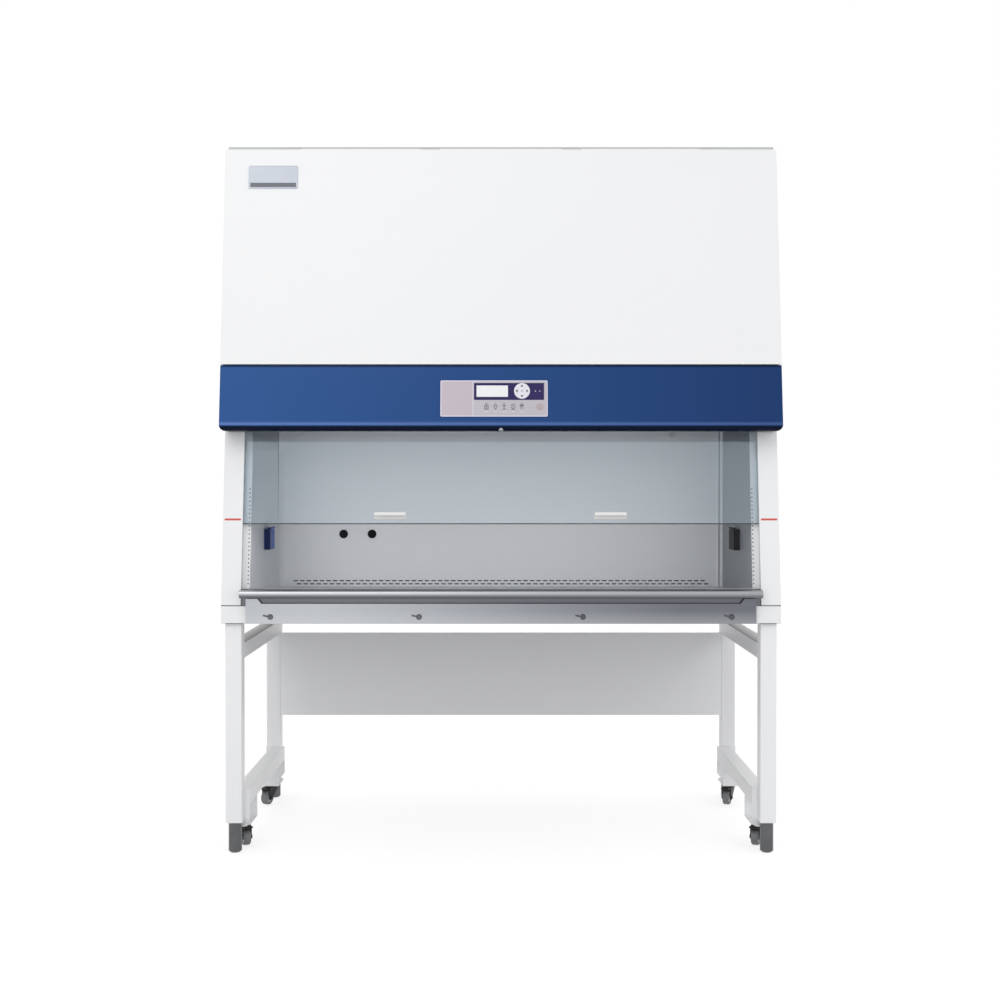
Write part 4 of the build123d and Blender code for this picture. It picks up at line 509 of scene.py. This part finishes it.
pulls = Finish("white_moulding")
vector = pulls.point()
grain = pulls.noise(vector, 800.0, detail=1.0)
drift = pulls.noise(vector, 30.0, detail=2.0)
white_moulding = pulls.finish(Base_Color=pulls.mix(drift, (0.80, 0.80, 0.79), (0.86, 0.86, 0.85)),
                              Roughness=drift * 0.1 + 0.38, Normal=pulls.bump(grain, 0.00005, 0.3, 0.0008))
paint(white_moulding, "sash_pulls", "airflow_sensor")

belt = Finish("toothed_belt")
vector, x, y, z = belt.place()
lean = radians(7.5)
climb = y * sin(lean) + z * cos(lean)
tooth = (climb / 0.005).math("FRACT").between(0.25, 0.75)
fibre = belt.noise(vector, 600.0, detail=2.0)
paint(belt.finish(Base_Color=belt.mix(fibre, (0.022, 0.022, 0.024), (0.05, 0.05, 0.05)), Roughness=fibre * 0.2 + 0.6,
                  Normal=belt.bump(tooth, 0.0008, 0.5)), "drive_belts")

# Filters: a pleated paper pack in a light frame, its folds running across the cabinet.
pleats = Finish("pleated_pack")
vector, x, y, z = pleats.place()
fold = (x / 0.006).math("PINGPONG", 1.0)
fibre = pleats.noise(vector, 500.0, detail=3.0)
# The tone runs dark to light across each pleat: painted shade and highlight of the folds.
paint(pleats.finish(Base_Color=pleats.mix(fold, (0.62, 0.62, 0.57), (0.88, 0.88, 0.84)), Roughness=fibre * 0.1 + 0.8,
                    Normal=pleats.bump(fold * 0.8 + fibre * 0.2, 0.002, 0.6)), "supply_filter", "exhaust_filter")

# Lamps: a white batten, a frosted daylight tube, a clear germicidal tube and moulded holders.
# The tubes are glassy and paler than the moulding round them.
tubes = Finish("lamp_tubes")
vector, x, y, z = tubes.place()
frost = tubes.noise(vector, 300.0, detail=2.0)
uv_part = (y > 0.15) * (abs(x) < 0.4495)
day_part = (y < 0.0) * (abs(x) < 0.5995) * (z < 1.372)
tube = uv_part.math("MAXIMUM", day_part)
tone = tubes.mix(tube, (0.82, 0.82, 0.81), (0.93, 0.94, 0.96))
tone = tubes.mix(frost * 0.15, tone, (0.72, 0.73, 0.74))
paint(tubes.finish(Base_Color=tone, Roughness=0.4 - tube * 0.25, Normal=tubes.bump(frost, 0.00004, 0.3)), "lamps")

# Outlets: moulded boxes on the side walls, navy at the left and black at the right. The left lid is
# bright blue with a dark front end, and the right lid is black.
paint(satin_black("outlet_plastic", (0.02, 0.02, 0.022), 0.4), "outlet_lid_right")
boxes = Finish("outlet_boxes")
vector, x, y, z = boxes.place()
grain = boxes.noise(vector, 900.0, detail=1.0)
drift = boxes.noise(vector, 40.0, detail=3.0)
tone = boxes.mix(drift, (0.016, 0.016, 0.018), (0.03, 0.03, 0.033))
tone = boxes.mix(x < 0.0, tone, (0.006, 0.022, 0.115))
paint(boxes.finish(Base_Color=tone, Roughness=drift * 0.1 + 0.4, Specular_IOR_Level=0.25,
                   Normal=boxes.bump(grain, 0.00005, 0.3, 0.0006)), "outlet_boxes")
lid = Finish("blue_lid")
vector, x, y, z = lid.place()
low, high = (np.array(point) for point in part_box("outlet_lid_left"))
front_end = y < float(low[1]) + 0.012
grain = lid.noise(vector, 700.0, detail=1.0)
drift = lid.noise(vector, 25.0, detail=2.0)
tone = lid.mix(drift, (0.008, 0.075, 0.50), (0.015, 0.11, 0.62))
tone = lid.mix(front_end, tone, (0.004, 0.018, 0.10))
paint(lid.finish(Base_Color=tone, Roughness=drift * 0.1 + 0.3, Specular_IOR_Level=0.2,
                 Normal=lid.bump(grain, 0.00005, 0.3, 0.0006)), "outlet_lid_left")
paint(satin_black("plug_rubber", (0.003, 0.003, 0.004), 0.5), "service_plugs")


# Control plate: anodised silver sheet with a faint warm tint, and a deep purple-black gloss
# window let into it behind the pad and the display.
# Places are in millimetres on the sloped front, from the foot of the slope.
foot_y, foot_z = -372.5, 758.0
plate_left, plate_top = -183.0, 675.4
plate_face, pane_face, key_face, hood_face = -98.5, -97.7, -100.5, -95.0
ink_height = 0.12


def plate_point(across_mm, down_mm, back_mm):
    """Place from the plate's upper left corner, in metres.

    Across is X. Down runs along the slope, and back runs square to it, away from the worker.
    """
    slope = plate_top - np.asarray(down_mm, float)
    back = np.asarray(back_mm, float)
    x = plate_left + np.asarray(across_mm, float)
    y = foot_y + slope * sin(lean) + back * cos(lean)
    z = foot_z + slope * cos(lean) - back * sin(lean)
    return np.stack(np.broadcast_arrays(x, y, z), axis=-1) / 1000


plate = Finish("silver_plate")
vector, x, y, z = plate.place()
rise = (y - foot_y / 1000) * sin(lean) + (z - foot_z / 1000) * cos(lean)
down = plate_top / 1000 - rise
over = x - plate_left / 1000
window = over.between(0.1014, 0.3129) * down.between(0.0080, 0.0601)
fine = plate.noise(vector, 1500.0, across, 2.0)
sheen = plate.noise(vector, 14.0, (0.5, 1.0, 1.0), 2.0)
left_part = over < 0.0975
edge = over.between(0.0030, 0.3212) * down.between(0.0030, 0.1082)
fold = over.between(0.0975, 0.0995)
tone = plate.mix(sheen, (0.43, 0.405, 0.445), (0.49, 0.465, 0.505))
tone = plate.mix(left_part * 0.8, tone, (0.475, 0.415, 0.455))
tone = plate.mix(1.0 - edge, tone, (0.66, 0.64, 0.74))
tone = plate.mix(fold, tone, (0.62, 0.60, 0.68))
tone = plate.mix(window, tone, (0.030, 0.022, 0.105))
metal = 0.6 - window * 0.6
paint(plate.finish(Base_Color=tone, Metallic=metal, Roughness=fine * 0.08 + 0.32 - window * 0.2,
                   Specular_IOR_Level=0.2, Normal=plate.bump(fine, 0.00001, 0.3)), "control_plate")

keys = Finish("lilac_keys")
vector = keys.point()
drift = keys.noise(vector, 60.0, detail=2.0)
grain = keys.noise(vector, 1500.0, detail=1.0)
paint(keys.finish(Base_Color=keys.mix(drift, (0.74, 0.73, 0.80), (0.83, 0.82, 0.89)), Roughness=drift * 0.08 + 0.2,
                  Coat_Weight=0.3, Normal=keys.bump(grain, 0.00002, 0.2, 0.0006)), "nav_pad")
paint(brushed("key_silver", (0.50, 0.48, 0.50), across, 0.36, 0.5), "power_key")
paint(brushed("lock_steel", (0.60, 0.61, 0.63), (1.0, 1.0, 1.0), 0.22, rounding=0.0004), "hood_lock")


# Marks and small plates are closed skins through rings of points.
def lofted(rings):
    """Point j of ring i joins its neighbours in the ring and point j of ring i + 1; the ends are capped."""
    count, points = rings.shape[:2]
    grid = np.arange(count * points).reshape(count, points)
    after = np.roll(grid, -1, axis=1)
    sides = np.stack([grid[:-1], after[:-1], after[1:], grid[1:]], axis=-1).reshape(-1, 4)
    return rings.reshape(-1, 3), sides.tolist() + [grid[0][::-1].tolist(), grid[-1].tolist()]


def new_piece(name, skins, material, body):
    """One mesh from several closed skins, at the origin, that rides on a body."""
    vertices, faces, start = [], [], 0
    for skin_vertices, skin_faces in skins:
        vertices.append(skin_vertices)
        faces += [[start + index for index in face] for face in skin_faces]
        start += len(skin_vertices)
    mesh = bpy.data.meshes.new(name)
    mesh.from_pydata(np.concatenate(vertices).tolist(), [], faces)
    mesh.materials.append(material)
    piece = bpy.data.objects.new(name, mesh)
    bpy.context.scene.collection.objects.link(piece)
    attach(piece, body)
    return piece


def round_rectangle(width, height, corner, steps=6):
    """Quarter circles of that radius at the four corners, joined by straight sides, turning leftwards."""
    turn = np.linspace(0, pi / 2, steps)
    middles = np.array([(1, 1), (-1, 1), (-1, -1), (1, -1)]) * np.array((width / 2 - corner, height / 2 - corner))
    angles = turn[None, :] + np.arange(4)[:, None] * pi / 2
    arc = np.stack([np.cos(angles), np.sin(angles)], axis=-1) * corner
    return (middles[:, None, :] + arc).reshape(-1, 2)


def raised(outline, across, down, back, height):
    """A closed outline drawn on the plate at that place, raised by a height towards the front."""
    rings = [plate_point(across + outline[:, 0], down - outline[:, 1], back - lift) for lift in (-0.05, height)]
    return lofted(np.array(rings))


# Display: a white liquid crystal face under the window, with a slightly darker rim.
face = Finish("display_face")
vector = face.point()
shimmer = face.noise(vector, 25.0, detail=2.0)
cells = face.noise(vector, 1800.0, detail=1.0)
face_white = face.finish(Base_Color=face.mix(shimmer, (0.80, 0.82, 0.84), (0.90, 0.91, 0.92)),
                         Roughness=cells * 0.05 + 0.12, Normal=face.bump(cells, 0.00001, 0.2))
new_piece("display_face", [raised(round_rectangle(94.9, 34.8, 1.0), 156.55, 33.1, pane_face, 0.25)], face_white,
          "hood")

# Function keys: five plain symbols printed in grey on the plate, each over a short pale stroke.
# Two small pale lights stand in the window.
ink = Finish("grey_print")
vector = ink.point()
print_noise = ink.noise(vector, 900.0, detail=2.0)
grey_print = ink.finish(Base_Color=ink.mix(print_noise, (0.10, 0.098, 0.115), (0.17, 0.165, 0.185)),
                        Roughness=print_noise * 0.1 + 0.4, Normal=ink.bump(print_noise, 0.00002, 0.3))
pale = Finish("pale_print")
vector = pale.point()
print_noise = pale.noise(vector, 900.0, detail=2.0)
pale_print = pale.finish(Base_Color=pale.mix(print_noise, (0.78, 0.77, 0.79), (0.88, 0.87, 0.89)),
                         Roughness=print_noise * 0.1 + 0.35, Normal=pale.bump(print_noise, 0.00002, 0.3))


def ring_sector(outer, inner, start, end, steps=20):
    """The outer arc one way and the inner arc back: a curved stroke, with angles in degrees."""
    angle = np.radians(np.linspace(start, end, steps))
    away = np.stack([np.cos(angle), np.sin(angle)], axis=-1)
    return np.concatenate([away * outer, away[::-1] * inner])


def stroke(wide, tall, shift=(0.0, 0.0)):
    return round_rectangle(wide, tall, min(wide, tall) * 0.3, 3) + np.array(shift)


signs = [
    [stroke(6.0, 3.4, (0, 8.0)), stroke(13.0, 2.2, (0, 3.6)), stroke(2.4, 11.0, (-5.0, -2.6)),
     stroke(2.4, 11.0, (5.0, -2.6)), stroke(2.4, 9.0, (0.0, -2.6)), stroke(13.0, 2.2, (0, -8.6))],
    [ring_sector(6.0, 3.4, -45, 225), stroke(6.6, 2.4, (0, -5.4)), stroke(4.8, 2.2, (0, -8.8)),
     stroke(2.4, 3.4, (0, 9.4))],
    [stroke(4.0, 4.0, (0, 7.6)), stroke(11.0, 2.2, (0, 3.0)), stroke(3.0, 11.0, (0, -1.8)),
     stroke(12.0, 2.2, (0, -8.6))],
    [ring_sector(7.4, 5.2, 15, 165), ring_sector(7.4, 5.2, 195, 345), stroke(4.0, 4.0),
     stroke(12.0, 2.0, (0, -9.6))],
    [stroke(12.0, 6.6, (0, 3.0)), stroke(2.4, 6.0, (-3.0, -4.4)), stroke(2.4, 6.0, (3.0, -4.4)),
     stroke(3.0, 3.4, (0, 9.0))],
]
sign_places = (139.0, 166.3, 192.3, 219.5, 245.5)
sign_row, dash_row, pad_row = 80.0, 96.0, 32.7
printed = []
for across_mm, shapes in zip(sign_places, signs):
    printed += [raised(shape, across_mm, sign_row, plate_face, ink_height) for shape in shapes]
new_piece("function_signs", printed, grey_print, "hood")
dashes = [raised(stroke(9.0, 0.9), across_mm, dash_row, plate_face, ink_height) for across_mm in sign_places]
new_piece("function_strokes", dashes, pale_print, "hood")
lights = [raised(stroke(2.6, 2.6), across_mm, pad_row, pane_face, 0.2) for across_mm in (287.0, 300.0)]
new_piece("status_lights", lights, pale_print, "hood")

# Navigation pad: four printed arrow heads round a small ring.
arrow_ring = 15.5
arrow = np.array([(0.0, 4.4), (-5.0, -2.6), (5.0, -2.6)])
arrows = [ring_sector(3.4, 2.4, 0, 350, 24)]
for quarter in range(4):
    turn = quarter * pi / 2
    turned = arrow @ np.array([(cos(turn), sin(turn)), (-sin(turn), cos(turn))])
    arrows.append(turned + arrow_ring * np.array((-sin(turn), cos(turn))))
new_piece("pad_arrows", [raised(shape, 246.3, pad_row, key_face, ink_height) for shape in arrows], grey_print,
          "nav_pad")

# Power key: a printed broken ring with a stroke through its gap, and a dull red rim round it.
rim_print = Finish("red_print")
vector = rim_print.point()
print_noise = rim_print.noise(vector, 900.0, detail=2.0)
red_print = rim_print.finish(Base_Color=rim_print.mix(print_noise, (0.45, 0.06, 0.06), (0.58, 0.09, 0.08)),
                             Roughness=print_noise * 0.1 + 0.4, Normal=rim_print.bump(print_noise, 0.00002, 0.3))
key_place = (300.0, sign_row, key_face, ink_height)
new_piece("power_sign", [raised(ring_sector(4.4, 3.3, 120, 420, 24), *key_place),
                         raised(stroke(1.1, 4.6, (0, 3.0)), *key_place)], grey_print,
          "power_key")
new_piece("power_ring", [raised(ring_sector(8.1, 7.3, 0, 356, 48), *key_place)], red_print,
          "power_key")

# Badge plate: a bare stamped aluminium plate riveted to the hood, with a raised border and a
# plain darker band along its lower part.
badge = Finish("badge_silver")
vector, x, y, z = badge.place()
fine = badge.noise(vector, 1500.0, across, 2.0)
sheen = badge.noise(vector, 12.0, detail=2.0)
badge_x, badge_z = -701.0, 2072.0
inside = (abs(x - badge_x / 1000) < 0.0705) * (abs(z - badge_z / 1000) < 0.0315)
lower = inside * (z < 2.0545)
tone = badge.mix(sheen, (0.44, 0.47, 0.53), (0.52, 0.55, 0.61))
tone = badge.mix(lower, tone, (0.13, 0.14, 0.16))
badge_silver = badge.finish(Base_Color=tone, Metallic=0.35, Roughness=fine * 0.1 + 0.4,
                            Normal=badge.bump(fine, 0.00002, 0.3))
badge_down = plate_top - (badge_z - foot_z + hood_face * sin(lean)) / cos(lean)
rings = []
for inset, back in ((0.0, -94.95), (0.0, -96.6), (0.4, -97.0), (2.4, -97.0), (2.9, -96.5)):
    shape = round_rectangle(152.0 - 2 * inset, 73.0 - 2 * inset, 5.0 - inset)
    rings.append(plate_point(badge_x - plate_left + shape[:, 0], badge_down - shape[:, 1], back))
new_piece("badge_plate", [lofted(np.array(rings))], badge_silver, "hood")

# Working height marks: a short strip of red film on each pillar beside the sash's lower edge.
film = Finish("red_film")
vector = film.point()
drift = film.noise(vector, 80.0, detail=2.0)
red_film = film.finish(Base_Color=film.mix(drift, (0.60, 0.07, 0.055), (0.70, 0.10, 0.08)),
                       Roughness=drift * 0.1 + 0.35, Normal=film.bump(drift, 0.00002, 0.2))
mark_x, mark_z = 820.0, 1019.0
mark_down = plate_top - (mark_z - foot_z) / cos(lean)
marks = [raised(stroke(50.0, 6.0), side * mark_x - plate_left, mark_down, 0.0, 0.2) for side in (-1, 1)]
new_piece("height_marks", marks, red_film, "cabinet")
